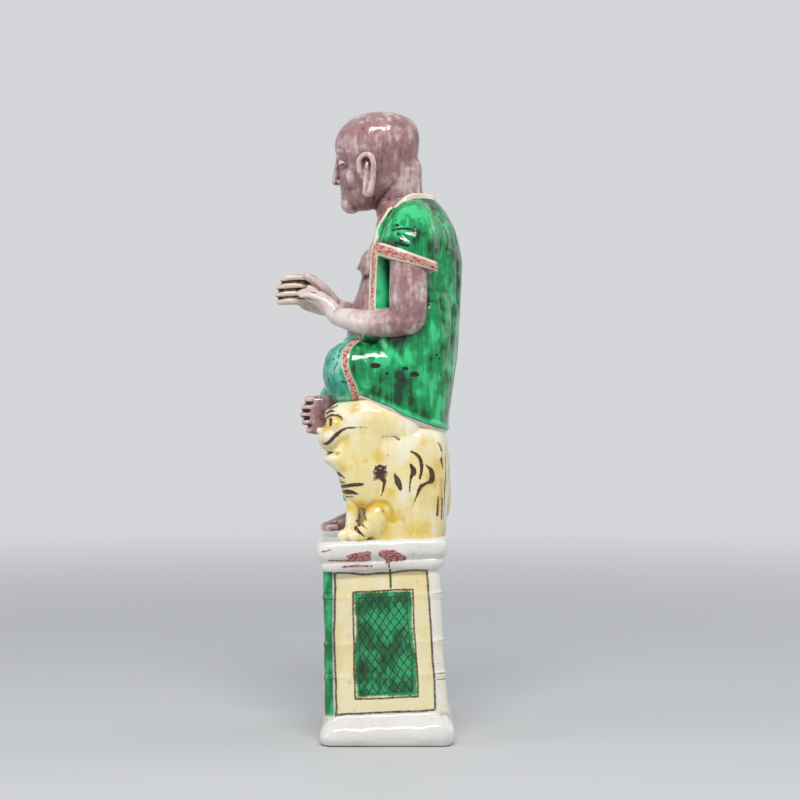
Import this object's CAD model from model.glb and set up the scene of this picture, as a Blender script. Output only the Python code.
# %% [markdown]
# # A glazed porcelain arhat on a tiger
#
# The figure is press-moulded porcelain. It was fired once without glaze, and then painted with lead
# enamels: leaf green, a pale yellow that pools to amber, aubergine for the skin, and a clear glaze over
# bare white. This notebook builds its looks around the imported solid, which fixes every size and place.

# %% Load the frame
import math

import bpy
import numpy as np
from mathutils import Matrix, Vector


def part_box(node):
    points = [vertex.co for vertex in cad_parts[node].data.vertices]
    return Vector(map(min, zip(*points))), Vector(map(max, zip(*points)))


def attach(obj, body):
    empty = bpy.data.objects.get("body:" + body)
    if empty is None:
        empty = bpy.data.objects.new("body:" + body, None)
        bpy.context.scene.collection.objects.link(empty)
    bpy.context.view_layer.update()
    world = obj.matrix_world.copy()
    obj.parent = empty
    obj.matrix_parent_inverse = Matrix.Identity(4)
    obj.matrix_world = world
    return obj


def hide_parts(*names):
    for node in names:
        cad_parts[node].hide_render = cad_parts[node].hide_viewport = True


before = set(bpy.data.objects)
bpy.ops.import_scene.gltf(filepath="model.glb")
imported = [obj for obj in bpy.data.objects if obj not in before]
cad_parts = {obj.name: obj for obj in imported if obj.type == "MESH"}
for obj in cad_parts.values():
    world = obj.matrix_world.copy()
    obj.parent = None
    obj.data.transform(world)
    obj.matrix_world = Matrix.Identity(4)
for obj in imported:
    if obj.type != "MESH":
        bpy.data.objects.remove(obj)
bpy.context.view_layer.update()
part_low, part_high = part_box("arhat_statue")
print("the solid's box in mm:", [round(1000 * (b - a), 1) for a, b in zip(part_low, part_high)])

# %% [markdown]
# Small ceramics are easiest to think of in millimetres, so every form below is written in millimetres and
# turned into metres once, when its mesh is made. X runs to the figure's left, Y to its back and Z up.
# The pedestal's middle lies behind the middle of the box, because the hands reach out in front. The
# heights that many forms share come from the solid's own height.

# %% Heights and places that the forms share
MM = 0.001
PEDESTAL_BACK = 7.0
TALL = 245.7
SLAB_TOP = 79.0
SHAFT_TOP = 67.5
PLINTH_TOP = 10.5
SEAT = SLAB_TOP + 45.0
LAP = SEAT + 31.5
SHOULDER = SEAT + 86.0
HEAD_MIDDLE = (0.0, -2.4, SHOULDER + 16.2)
FAR = 9.0  # a distance in millimetres that no brush reaches
print("heights fit the solid within mm:", round(abs(1000 * part_high[2] - TALL), 2))

# %% [markdown]
# ## Clay forms as grids
#
# Clay grows by adding rolls, balls and slabs. Each one is a closed surface here: a grid of points whose
# rows are rings and whose ends close on a pole. A ring is a superellipse, which goes from round (power 2)
# to nearly square (power 8) with one number. Whole arrays hold all rings at once.


# %% Rings and smooth lines
def smooth_line(stations, between=8):
    """Catmull-Rom: from station b to c, a cubic that leaves b along c - a and reaches c along d - b."""
    rows = np.array(stations, float)
    rows = np.vstack([2 * rows[0] - rows[1], rows, 2 * rows[-1] - rows[-2]])
    a, b, c, d = (rows[k : len(rows) - 3 + k, None, :] for k in range(4))
    t = np.linspace(0, 1, between, endpoint=False)[None, :, None]
    cubic = b + (c - a) * t / 2 + (a - 2.5 * b + 2 * c - d / 2) * t**2
    cubic = cubic + (1.5 * (b - c) + (d - a) / 2) * t**3
    return np.vstack([cubic.reshape(-1, rows.shape[1]), rows[-2:-1]])


def ring(power, count):
    """Superellipse: x and y are the cosine and sine of the turn, each raised to 2 / power."""
    turn = np.linspace(0, 2 * np.pi, count, endpoint=False)
    c, s = np.cos(turn), np.sin(turn)
    return np.sign(c) * np.abs(c) ** (2 / power), np.sign(s) * np.abs(s) ** (2 / power)


def roll(stations, up=(0, 0, 1), power=2.0, cap=None, between=8):
    """A roll of clay along a smooth line. A station is x, y, z, half width and half height, the height
    towards up. Each end is a dome: rings at angle a, smaller by cos a and pushed out by cap x sin a."""
    rows = smooth_line(stations, between)
    way = np.gradient(rows[:, :3], axis=0)
    way /= np.linalg.norm(way, axis=1)[:, None]
    across = np.cross(way, np.array(up, float))
    across /= np.linalg.norm(across, axis=1)[:, None]
    over = np.cross(across, way)
    arc = np.radians([84, 68, 50, 30, 12])
    ahead, small = np.sin(arc) ** (2 / power), np.cos(arc) ** (2 / power)
    last = len(rows) - 1
    pick = np.r_[np.zeros(5, int), np.arange(len(rows)), np.full(5, last)]
    size = np.r_[small, np.ones(len(rows)), small[::-1]]
    push = np.r_[-ahead, np.zeros(len(rows)), ahead[::-1]]
    reach = np.where(pick == last, rows[last, 3:5].min(), rows[0, 3:5].min()) if cap is None else cap
    middle = rows[pick, :3] + way[pick] * (push * reach)[:, None]
    c, s = ring(power, 36)
    wide = (size * rows[pick, 3])[:, None, None] * c[None, :, None] * across[pick][:, None, :]
    tall = (size * rows[pick, 4])[:, None, None] * s[None, :, None] * over[pick][:, None, :]
    return middle[:, None, :] + wide + tall


def stack(sections, power=2.0, between=8):
    """Level rings on each other. A section is middle y, z, half width, half depth and tilt (rise per y)."""
    y, z, wide, deep, tilt = (v[:, None] for v in smooth_line(sections, between).T)
    c, s = ring(power, 72)
    back = deep * s[None, :]
    return np.stack([wide * c[None, :], y + back, z + tilt * back], axis=-1)


def ball(x, y, z, wide, deep, tall, pitch=0.0):
    """An ellipsoid: rings of latitude, stretched by the three radii and pitched about the X axis."""
    north = np.linspace(-np.pi / 2, np.pi / 2, 18)[1:-1, None]
    east = np.linspace(0, 2 * np.pi, 28, endpoint=False)[None, :]
    px = wide * np.cos(north) * np.cos(east)
    py = deep * np.cos(north) * np.sin(east)
    pz = tall * np.sin(north) + 0 * east
    c, s = math.cos(pitch), math.sin(pitch)
    return np.stack([x + px, y + c * py - s * pz, z + s * py + c * pz], axis=-1)


def turned(grids, pivot, nod):
    """Grids turned about the X axis through pivot."""
    c, s = math.cos(nod), math.sin(nod)
    done = []
    for grid in grids:
        rest = grid - np.array(pivot)
        y, z = c * rest[..., 1] - s * rest[..., 2], s * rest[..., 1] + c * rest[..., 2]
        done.append(np.stack([rest[..., 0], y, z], axis=-1) + np.array(pivot))
    return done


print("a test roll has the grid", roll([(0, 0, 0, 1, 1), (0, 5, 0, 1, 1)]).shape)

# %% [markdown]
# ## From grids to one skin
#
# Where two forms meet in wet clay, the potter wipes the seam with slip. A voxel remesh does the same: it
# wraps all forms in one even skin, and a few rounds of smoothing leave the soft join. The new skin has
# points about half a millimetre apart or closer, close enough to press real grooves into it afterwards.


# %% Fuse forms into a skin
def mesh_of(name, grids):
    """Quads between neighbouring rings, closed round, and a fan from the first and last ring to a pole."""
    points, faces, start = [], [], 0
    for grid in grids:
        rows, sides = grid.shape[:2]
        index = start + np.arange(rows * sides).reshape(rows, sides)
        after = np.roll(index, -1, axis=1)
        quads = np.stack([index[:-1], after[:-1], after[1:], index[1:]], axis=-1).reshape(-1, 4)
        low = np.stack([after[0], index[0], np.full(sides, index[-1, -1] + 1)], axis=-1)
        high = np.stack([index[-1], after[-1], np.full(sides, index[-1, -1] + 2)], axis=-1)
        faces += quads.tolist() + low.tolist() + high.tolist()
        points.append(np.vstack([grid.reshape(-1, 3), grid[0].mean(0), grid[-1].mean(0)]))
        start += rows * sides + 2
    mesh = bpy.data.meshes.new(name)
    mesh.from_pydata(((np.vstack(points) + (0, PEDESTAL_BACK, 0)) * MM).tolist(), [], faces)
    mesh.update()
    return mesh


def put(name, mesh):
    made = bpy.data.objects.new(name, mesh)
    bpy.context.scene.collection.objects.link(made)
    return made


def finished(rough):
    """What the modifiers make of an object, as a mesh of its own."""
    bpy.context.view_layer.update()
    graph = bpy.context.evaluated_depsgraph_get()
    return bpy.data.meshes.new_from_object(rough.evaluated_get(graph), depsgraph=graph)


def fuse(name, grids, voxel, rounds):
    rough = put(name + "_forms", mesh_of(name + "_forms", grids))
    wrap = rough.modifiers.new("wrap", "REMESH")
    wrap.mode = "VOXEL"
    wrap.voxel_size = voxel * MM
    sponge = rough.modifiers.new("sponge", "SMOOTH")
    sponge.factor = 0.5
    sponge.iterations = rounds
    skin = put(name, finished(rough))
    bpy.data.objects.remove(rough)
    skin.data.name = name
    print(name, "has", len(skin.data.vertices), "points")
    return skin


# %% [markdown]
# ## Working on the skin
#
# A wooden tool presses grooves and leaves ridges beside them. In numbers, a point moves along its normal
# by a bell curve of its distance from the tool's path. All of this reads and writes whole arrays. What a
# brush paints later is kept as one number a point, such as the distance to a stroke's edge.


# %% Tools for the skin
def read_skin(skin):
    """Places in millimetres, from under the pedestal's middle, and normals."""
    mesh = skin.data
    place = np.empty(len(mesh.vertices) * 3)
    mesh.vertices.foreach_get("co", place)
    normal = np.empty(len(mesh.vertices) * 3)
    mesh.vertex_normals.foreach_get("vector", normal)
    return place.reshape(-1, 3) / MM - (0, PEDESTAL_BACK, 0), normal.reshape(-1, 3)


def write_skin(skin, place):
    skin.data.vertices.foreach_set("co", ((place + (0, PEDESTAL_BACK, 0)) * MM).ravel())
    skin.data.update()


def neighbour_mean(skin, values, rounds):
    """Each point's value becomes half its own and half its neighbours' mean, for some rounds."""
    edges = np.empty(len(skin.data.edges) * 2, int)
    skin.data.edges.foreach_get("vertices", edges)
    a, b = edges.reshape(-1, 2).T
    count = len(skin.data.vertices)
    degree = np.maximum(np.bincount(a, minlength=count) + np.bincount(b, minlength=count), 1)
    out = values.reshape(count, -1).astype(float)
    for _ in range(rounds):
        total = [np.bincount(a, v[b], count) + np.bincount(b, v[a], count) for v in out.T]
        out = 0.5 * out + 0.5 * np.stack(total, axis=1) / degree[:, None]
    return out.reshape(values.shape)


def distance(place, path, between=6):
    """From every point to a smooth path: the nearest foot on any of its short straight pieces."""
    line = smooth_line(path, between) if len(path) > 2 else np.array(path, float)
    best = np.full(len(place), np.inf)
    for start, end in zip(line, line[1:]):
        run = end - start
        share = np.clip((place - start) @ run / max(run @ run, 1e-9), 0, 1)
        best = np.minimum(best, np.linalg.norm(place - start - share[:, None] * run, axis=1))
    return best


def stroke(flat, path, between=5):
    """How far every flat point lies outside a brush stroke, in mm, below 0 inside it. The stroke is a
    path of (across, up, half width), and its edge is the distance to the path less the half width."""
    line = smooth_line(path, between) if len(path) > 2 else np.array(path, float)
    best = np.full(len(flat), FAR)
    for start, end in zip(line, line[1:]):
        run = (end - start)[:2]
        share = np.clip((flat - start[:2]) @ run / max(run @ run, 1e-9), 0, 1)
        gap = np.linalg.norm(flat - start[:2] - share[:, None] * run, axis=1)
        best = np.minimum(best, gap - start[2] - share * (end[2] - start[2]))
    return best


def bell(gap, width):
    """1 on the path, falling as exp(-(gap / width) squared)."""
    return np.exp(-((gap / width) ** 2))


def ramp(value, low, high):
    """Smooth step from 0 at low to 1 at high: 3 t squared - 2 t cubed."""
    t = np.clip((value - low) / (high - low), 0, 1)
    return t * t * (3 - 2 * t)


def hand_marks(place, size, seed):
    """Uneven clay: a sum of nine sine waves about size mm long in seeded directions, about -1 to 1."""
    dice = np.random.default_rng(seed)
    total = np.zeros(len(place))
    for _ in range(9):
        way = dice.normal(size=3)
        way *= 2 * np.pi / (size * dice.uniform(0.7, 1.5) * np.linalg.norm(way))
        total += np.sin(place @ way + dice.uniform(0, 2 * np.pi))
    return total / 4.5


def keep(skin, name, values):
    """One number a point, which a material reads with an Attribute node."""
    layer = skin.data.attributes.new(name, "FLOAT", "POINT")
    layer.data.foreach_set("value", values.astype(np.float32))


def keep_hollow(skin, rounds=14):
    """How far a point lies below its surroundings in mm: above 0 in a hollow, below 0 on a ridge."""
    place, normal = read_skin(skin)
    lift = ((neighbour_mean(skin, place, rounds) - place) * normal).sum(1)
    keep(skin, "hollow", neighbour_mean(skin, lift, 2))


def smooth_shaded(skin):
    skin.data.polygons.foreach_set("use_smooth", np.ones(len(skin.data.polygons), bool))
    skin.data.update()


print("a stroke's edge lies at", round(float(stroke(np.array([[3.0, 0.0]]), [(0, 0, 1), (0, 5, 1)])[0]), 2))

# %% [markdown]
# ## The pedestal
#
# The pedestal was pressed in a mould too: a plinth that spreads like a foot, a shaft that widens downwards
# and a soft slab on top, open underneath. All of it is one profile carried round a rectangle, so it is one
# grid: a row is one round of the rectangle, and the rows run up the outside, over the slab and down the
# inner wall. At the shaft's corners the round swells to a bamboo cane with nodes.

# %% Profile of the pedestal, from the foot up, over and down inside
LIFT = 0.0423
SHAFT_LOW = (29.6, 22.8)
SHAFT_HIGH = (28.0, 21.2)
SLAB_GROWTH = (5.0, 3.9)
LEAN_LOW = 0.96
LEAN_FALL = 2.16
LEVELLING = 0.3
CANE_RADIUS = 2.4
CANE_INSET = 0.62
CANE_NODES = (26.7, 39.4, 57.4)

FOOT_ROWS = [
    (31.5, 22.5, 3.4, 0, 1.2, 0.0, 0.0),
    (33.2, 24.2, 4.0, 0, 1.2, 0.2, 0.0),
    (34.4, 25.4, 5.1, 0, 1.2, 1.3, 0.3),
    (35.0, 26.0, 5.7, 0, 1.2, 3.2, 0.6),
    (34.8, 25.9, 5.6, 0, 1.2, 5.2, 0.9),
    (33.8, 25.1, 5.4, 0, 1.15, 7.4, 1.0),
    (32.0, 24.0, 4.4, 0, 1.1, 9.2, 1.0),
    (30.4, 23.2, 3.4, 0.3, 1.0, 10.6, 1.0),
]
SLAB_ROWS = [
    (0.42, 0.03), (0.58, 0.12), (0.64, 0.24), (0.60, 0.32), (0.72, 0.39), (0.92, 0.50),
    (1.00, 0.62), (1.01, 0.74), (0.97, 0.86), (0.86, 0.95), (0.70, 1.00), (0.30, 1.02),
]
INSIDE_ROWS = [
    (17.0, 12.6, 5.5, 0, 1.6, SLAB_TOP + 0.2, 1.0),
    (15.6, 11.4, 5.2, 0, 2.0, SLAB_TOP - 1.0, 0.8),
    (18.6, 12.9, 4.0, 0, 1.0, SLAB_TOP - 7.0, 0.0),
    (20.3, 13.8, 3.0, 0, 0.0, SHAFT_TOP - 3.0, 0.0),
    (21.8, 15.0, 3.0, 0, 0.0, 40.0, 0.0),
    (22.6, 15.9, 3.0, 0, 0.3, 4.0, 0.0),
    (23.2, 16.5, 3.0, 0, 0.4, 0.6, 0.0),
    (24.4, 17.4, 3.2, 0, 0.6, 0.0, 0.0),
    (28.0, 20.0, 3.4, 0, 1.0, 0.0, 0.0),
]


def pedestal_rows():
    """A row is half width, half depth, corner radius, cane share, middle y, height and share of the lift."""
    rows = list(FOOT_ROWS)
    for share in np.linspace(0, 1, 15):
        wide, deep = (low + share * (high - low) for low, high in zip(SHAFT_LOW, SHAFT_HIGH))
        up = PLINTH_TOP + 1.6 + share * (SHAFT_TOP - PLINTH_TOP - 2.0)
        rows.append((wide, deep, 3.0, 1.0, LEAN_LOW - LEAN_FALL * share, up, 1.0 - LEVELLING * share))
    for grow, share in SLAB_ROWS:
        wide, deep = (edge + grow * more for edge, more in zip(SHAFT_HIGH, SLAB_GROWTH))
        rows.append((wide, deep, 3.4 + grow, 0, -0.8, SHAFT_TOP + share * (SLAB_TOP - SHAFT_TOP), 1.0))
    return smooth_line(rows + INSIDE_ROWS, 5)


def pedestal_grid(rows, corner=13, front=44, flank=34):
    """A round of the rectangle: at each corner an arc about its own middle, with a radius and a span
    that go from a rounded edge to a cane, and between two arcs points evenly spaced on a straight line."""
    wide, deep, radius, bead, y, z, tilt = (v[:, None] for v in rows.T)
    bead = np.clip(bead, 0, 1)
    node = sum(bell(z - up, 0.9) for up in CANE_NODES)
    reach = radius * (1 - bead) + (CANE_RADIUS + 0.5 * node) * bead
    inset = radius * (1 - bead) + CANE_INSET * CANE_RADIUS * bead
    extra = math.acos(CANE_INSET) * bead
    share = np.linspace(0, 1, corner)[None, :]
    arcs = []
    for k, (sx, sy) in enumerate(((1, 1), (-1, 1), (-1, -1), (1, -1))):
        turn = math.pi / 2 * k - extra + share * (math.pi / 2 + 2 * extra)
        px = sx * (wide - inset) + reach * np.cos(turn)
        py = sy * (deep - inset) + reach * np.sin(turn)
        arcs.append((px, py))
    sides = []
    for k, count in enumerate((front, flank, front, flank)):
        (px, py), (nx, ny) = arcs[k], arcs[(k + 1) % 4]
        part = np.linspace(0, 1, count + 2)[None, 1:-1]
        sides += [(px, py), tuple(v[:, -1:] + part * (w[:, :1] - v[:, -1:]) for v, w in ((px, nx), (py, ny)))]
    x, back = (np.hstack([side[k] for side in sides]) for k in (0, 1))
    return np.stack([x, y + back, z + LIFT * tilt * back], axis=-1)


# %% [markdown]
# A grid that closes both ways needs no poles: the last row joins the first under the foot. The hand of the
# maker shows in slow waves along the edges, so each point moves a little along its normal.


# %% The pedestal's mesh
def closed_both_ways(name, grid):
    """Quads between neighbouring points of a grid whose rows and columns both close on themselves."""
    rows, sides = grid.shape[:2]
    index = np.arange(rows * sides).reshape(rows, sides)
    up, after = np.roll(index, -1, axis=0), np.roll(index, -1, axis=1)
    quads = np.stack([index, after, np.roll(up, -1, axis=1), up], axis=-1).reshape(-1, 4)
    mesh = bpy.data.meshes.new(name)
    mesh.from_pydata(((grid.reshape(-1, 3) + (0, PEDESTAL_BACK, 0)) * MM).tolist(), [], quads.tolist())
    mesh.update()
    return mesh


def shaft_share(z):
    return np.clip((z - PLINTH_TOP) / (SHAFT_TOP - PLINTH_TOP), 0, 1)


def uneven(place, normal, amount):
    wave = 0.55 * hand_marks(place, 30, 1) + 0.25 * hand_marks(place, 11, 2) + 0.08 * hand_marks(place, 4, 3)
    return place + normal * (amount * wave)[:, None]


pedestal = put("pedestal", closed_both_ways("pedestal", pedestal_grid(pedestal_rows())))
place, normal = read_skin(pedestal)
outside = ramp(place[:, 2], 0.2, 3.0)
place = place + (uneven(place, normal, 0.75) - place) * outside[:, None]
place[:, 2] = np.maximum(place[:, 2], 0.0)
write_skin(pedestal, place)
print("pedestal has", len(pedestal.data.vertices), "points")

# %% [markdown]
# The painter drew each face of the shaft with a thin brown line: an outer frame, filled with yellow, and
# an upright rectangle in it, filled with green over a net of crossing lines. Lines drawn by hand wobble.
# So every point keeps how far it is from each outline, with a slow wave added to the distance.


# %% Painted outlines of the pedestal
def rectangle_edge(across, up, middle, half, low, high):
    """Signed distance to an upright rectangle: the larger of the two overshoots, below 0 inside."""
    return np.maximum(np.abs(across - middle) - half, np.maximum(low - up, up - high))


FRAME_LOW, FRAME_HIGH = 12.6, 66.6
PANEL_LOW, PANEL_HIGH = 18.2, 59.4
FRAME_MARGIN = 3.6
NET_MARGIN = 2.1
CANE_REACH = 2.7
NODE_LINE_GAP = 1.15


def paint_pedestal():
    place = read_skin(pedestal)[0]
    x, y, z = place.T
    share = shaft_share(z)
    lean = LEAN_LOW - LEAN_FALL * share
    wide = SHAFT_LOW[0] + share * (SHAFT_HIGH[0] - SHAFT_LOW[0])
    deep = SHAFT_LOW[1] + share * (SHAFT_HIGH[1] - SHAFT_LOW[1])
    flank = np.abs(x) / wide > np.abs(y - lean) / deep
    across = np.where(flank, y - lean, x)
    room = np.where(flank, deep, wide)
    up = z - LIFT * (y - lean) * (1 - LEVELLING * share)
    wobble = 0.5 * hand_marks(place, 26, 5) + 0.16 * hand_marks(place, 7, 6)
    outer = rectangle_edge(across, up, 0, room - FRAME_MARGIN, FRAME_LOW, FRAME_HIGH) + wobble
    panel_half = np.where(flank, 0.54, 0.56) * room
    inner = rectangle_edge(across, up, 0.4, panel_half, PANEL_LOW, PANEL_HIGH)
    beyond_wide = np.maximum(np.abs(x) - wide + CANE_REACH, 0)
    beyond_deep = np.maximum(np.abs(y - lean) - deep + CANE_REACH, 0)
    cane = ramp(beyond_wide * beyond_deep, 0.0, 0.3)
    cane = cane * ramp(z, PLINTH_TOP + 0.4, PLINTH_TOP + 1.6) * ramp(-z, -SHAFT_TOP + 0.2, -SHAFT_TOP + 1.0)
    keep(pedestal, "outer_frame", outer)
    keep(pedestal, "panel", inner + 0.6 * hand_marks(place, 22, 7) + 0.2 * hand_marks(place, 6, 8))
    keep(pedestal, "panel_line", inner + 0.35 * hand_marks(place, 30, 9) + 0.12 * hand_marks(place, 8, 10))
    keep(pedestal, "net_edge", inner + NET_MARGIN + 0.5 * hand_marks(place, 24, 11))
    keep(pedestal, "across", across + 0.35 * hand_marks(place, 18, 12))
    keep(pedestal, "up", up + 0.35 * hand_marks(place, 20, 13))
    keep(pedestal, "cane", cane)
    lines = [np.abs(np.abs(z - node) - NODE_LINE_GAP) for node in CANE_NODES]
    keep(pedestal, "node_line", np.min(lines, axis=0))
    inside = (np.abs(x) < 24.5) & (np.abs(y - 0.5) < 18.0) & (z < SLAB_TOP - 0.5)
    keep(pedestal, "bare", np.maximum(inside * 1.0, ramp(-z, -0.7, -0.1)))


paint_pedestal()

# %% [markdown]
# Iron red was brushed on the slab's sides with a nearly dry brush, in a few short dabs. A dab is a stroke
# in the plane of the side: distances are measured along the side and up it. On the figure's left, green
# ran down from the slab over the frame in one thin drip.

# %% Red dabs on the slab
SLAB_DABS = [
    [(-23.5, 74.8, 0.3), (-20.4, 75.6, 0.3)],
    [(-21.0, 71.4, 0.2), (-14.2, 71.3, 0.5), (-6.0, 72.2, 1.2)],
    [(-13.6, 73.0, 0.7), (-9.7, 73.0, 1.5), (-5.8, 74.1, 1.1)],
    [(-16.2, 68.8, 0.3), (-9.7, 69.2, 0.5), (-4.4, 69.0, 0.3)],
    [(-0.7, 74.0, 1.4), (3.0, 73.2, 2.3), (7.7, 72.2, 1.0)],
    [(2.1, 71.9, 1.4), (1.5, 70.4, 0.8)],
]
SLAB_DRIP = [(2.1, 69.6, 0.2), (2.6, 64.3, 0.25), (2.6, 60.5, 0.2)]


def paint_dabs():
    place, normal = read_skin(pedestal)
    x, y, z = place.T
    flank = np.abs(normal[:, 0]) >= np.abs(normal[:, 1])
    along = np.where(flank, np.where(x > 0, y, -y - 3), np.where(y > 0, x - 9, x + 4))
    flat = np.stack([along, z], axis=1)
    near = (np.abs(z - 0.5 * (SHAFT_TOP + SLAB_TOP)) < 7.0) & (np.abs(normal[:, 2]) < 0.9)
    dabs = np.min([stroke(flat, dab) for dab in SLAB_DABS], axis=0)
    keep(pedestal, "dab", np.where(near, dabs, FAR))
    drip = stroke(flat, SLAB_DRIP)
    keep(pedestal, "drip", np.where(flank & (x > 0), drip, FAR))


paint_dabs()
keep_hollow(pedestal, 10)
print("pedestal carries", len(pedestal.data.attributes), "layers of numbers")

# %% [markdown]
# ## The hollow
#
# The mould left the figure hollow, so that it could dry and fire without bursting. The hollow goes on up
# from the pedestal into the tiger and the body. The same loft as in the solid is cut out of both skins.

# %% The mould's hollow as a cutter
HOLLOW_SECTIONS = [
    (2.0, SLAB_TOP - 6.0, 16.5, 11.8, 0.0),
    (2.0, SLAB_TOP, 15.2, 11.1, 0.0),
    (5.0, SLAB_TOP + 22.5, 13.4, 10.4, 0.0),
    (9.0, SEAT + 8.0, 9.6, 8.8, 0.0),
    (10.5, SEAT + 39.5, 8.4, 8.0, 0.0),
    (10.5, SEAT + 48.5, 4.2, 4.2, 0.0),
]


def hollow_out(skin):
    cutter = put("hollow_cutter", mesh_of("hollow_cutter", [stack(HOLLOW_SECTIONS, 2.6, 4)]))
    cut = skin.modifiers.new("hollow", "BOOLEAN")
    cut.operation = "DIFFERENCE"
    cut.solver = "MANIFOLD"
    cut.object = cutter
    before = len(skin.data.vertices)
    mesh = finished(skin)
    skin.modifiers.clear()
    skin.data = mesh
    mesh.materials.clear()
    mesh.name = skin.name
    bpy.data.objects.remove(cutter)
    print(skin.name, "hollowed:", before, "->", len(mesh.vertices), "points")


# %% [markdown]
# ## The tiger
#
# The tiger crouches across the slab as a seat. It is a simple, heavy form: a body like a bolster, a broad
# head on a thick throat with a nearly closed mouth, one slender foreleg and one bent under the shoulder,
# and a tail that curls up its back. Its head is on the figure's left.

# %% The tiger's forms
HEAD_X = 18.8
TIGER_BACK_Z = SLAB_TOP + 45.0


def tiger_body():
    sections = [
        # middle y, z, half width, half depth, tilt
        (7.4, SLAB_TOP - 0.8, 28.3, 16.4, 0.0),
        (7.5, SLAB_TOP + 4.0, 29.0, 16.8, 0.0),
        (7.6, SLAB_TOP + 11.0, 29.3, 17.2, 0.0),
        (7.2, SLAB_TOP + 17.0, 29.4, 18.0, 0.0),
        (6.4, SLAB_TOP + 25.0, 29.4, 18.9, 0.0),
        (6.4, SLAB_TOP + 33.0, 29.2, 18.8, 0.0),
        (6.3, SLAB_TOP + 38.5, 28.4, 18.2, 0.0),
        (6.5, SLAB_TOP + 42.5, 26.4, 16.4, 0.0),
        (6.0, SLAB_TOP + 45.5, 22.0, 13.0, 0.0),
    ]
    return [stack(sections, power=4.0)]


def tiger_head_forms():
    """Skull, muzzle, thin jaw, throat, eye bulges, brows and low ears."""
    x, top = HEAD_X, TIGER_BACK_Z
    throat = [
        (-5.0, SLAB_TOP + 11.8, 7.4, 5.5, 0.0),
        (-5.8, SLAB_TOP + 14.6, 9.6, 8.4, 0.0),
        (-6.6, SLAB_TOP + 18.5, 10.4, 9.6, 0.0),
        (-7.0, SLAB_TOP + 22.5, 10.8, 10.4, 0.0),
        (-7.6, SLAB_TOP + 26.0, 10.9, 11.2, 0.0),
        (-8.6, SLAB_TOP + 28.6, 10.8, 12.8, 0.0),
        (-9.4, SLAB_TOP + 31.2, 10.6, 13.5, 0.0),
        (-8.0, SLAB_TOP + 36.0, 10.8, 12.0, 0.0),
        (-7.0, SLAB_TOP + 44.0, 10.8, 12.0, 0.0),
    ]
    grids = [stack(throat, power=2.7) + (x, 0, 0)]
    skull = [
        (x, 8.0, top - 2.0, 9.4, 9.6),
        (x, 0.0, top - 1.2, 10.5, 10.1),
        (x, -7.0, top - 1.0, 11.1, 10.3),
        (x, -14.5, top - 1.7, 10.6, 9.9),
    ]
    grids.append(roll(skull, power=2.4, cap=8.0))
    grids.append(ball(x, -18.3, top - 6.2, 8.6, 7.3, 6.4))
    grids.append(ball(x, -25.0, top - 3.4, 2.6, 1.3, 1.5))
    jaw = [
        (x, -9.0, top - 14.4, 9.6, 4.4),
        (x, -16.0, top - 14.2, 8.4, 2.9),
        (x, -21.2, top - 14.2, 6.6, 2.2),
    ]
    grids.append(roll(jaw, power=2.2))
    for side in (-1, 1):
        grids.append(ball(x + side * 6.2, -18.8, top - 1.0, 3.8, 3.9, 4.2))
        grids.append(ball(x + side * 6.0, -20.4, top - 5.8, 4.4, 3.6, 4.2))
        grids.append(ball(x + side * 6.8, -10.6, top + 5.2, 3.2, 3.0, 1.8, 0.3))
        brow = [
            (x + side * 2.4, -22.4, top + 2.2, 0.9, 0.8),
            (x + side * 6.4, -21.2, top + 4.0, 1.1, 1.0),
            (x + side * 9.6, -16.6, top + 2.4, 0.9, 0.8),
        ]
        grids.append(roll(brow))
    return grids


def paw_forms(x, y, length, wide, toes):
    spread = 2 * wide / toes
    grids = [ball(x, y, SLAB_TOP + 1.9, wide, length, 3.2)]
    for k in range(toes):
        out = (k - (toes - 1) / 2) * spread
        grids.append(ball(x + out, y - 0.86 * length, SLAB_TOP + 1.3, 0.56 * spread, 2.2, 2.1))
    return grids


def tiger_legs_and_tail():
    low = SLAB_TOP
    fore = [
        (23.6, -11.2, low + 16.5, 2.9, 3.2),
        (23.6, -12.2, low + 9.0, 2.6, 2.5),
        (23.6, -12.6, low + 1.5, 2.7, 2.4),
    ]
    grids = [roll(fore, up=(0, 1, 0)), *paw_forms(23.6, -13.4, 2.6, 3.2, 3)]
    grids.append(ball(26.0, -2.6, low + 7.0, 4.5, 5.2, 6.8))
    bent = [
        (26.0, -1.6, low + 8.6, 4.0, 4.2),
        (26.2, -5.4, low + 4.4, 3.9, 3.6),
        (26.3, -8.4, low + 2.3, 3.6, 2.6),
    ]
    grids += [roll(bent), *paw_forms(26.3, -8.6, 3.2, 3.7, 3)]
    grids.append(ball(-24.2, 7.5, low + 16.0, 6.4, 13.0, 15.5))
    hind = [
        (-26.0, 10.0, low + 8.0, 4.0, 5.6),
        (-26.7, 3.0, low + 3.6, 3.6, 3.6),
        (-26.7, -4.0, low + 2.4, 3.5, 2.7),
    ]
    grids += [roll(hind), *paw_forms(-26.7, -6.0, 4.2, 4.2, 4)]
    tail = [
        (-18.0, 22.0, low + 5.0, 2.1, 2.1),
        (-9.0, 23.4, low + 7.6, 2.1, 2.1),
        (-1.0, 23.9, low + 13.5, 2.1, 2.1),
        (0.0, 24.1, low + 22.0, 2.1, 2.1),
        (-4.5, 24.0, low + 29.0, 2.2, 2.2),
        (-10.5, 23.2, low + 32.5, 2.4, 2.4),
    ]
    grids.append(roll(tail))
    return grids


tiger = fuse("tiger", tiger_body() + tiger_head_forms() + tiger_legs_and_tail(), 0.44, 5)
hollow_out(tiger)

# %% [markdown]
# With the form wiped smooth, the tool draws the mouth, the cheek lines, the eye sockets and the toes, and
# two soft flutes down the near flank.


# %% Tool marks on the tiger
def mirrored(path, middle):
    return [(2 * middle - p[0], *p[1:]) for p in path]


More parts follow.
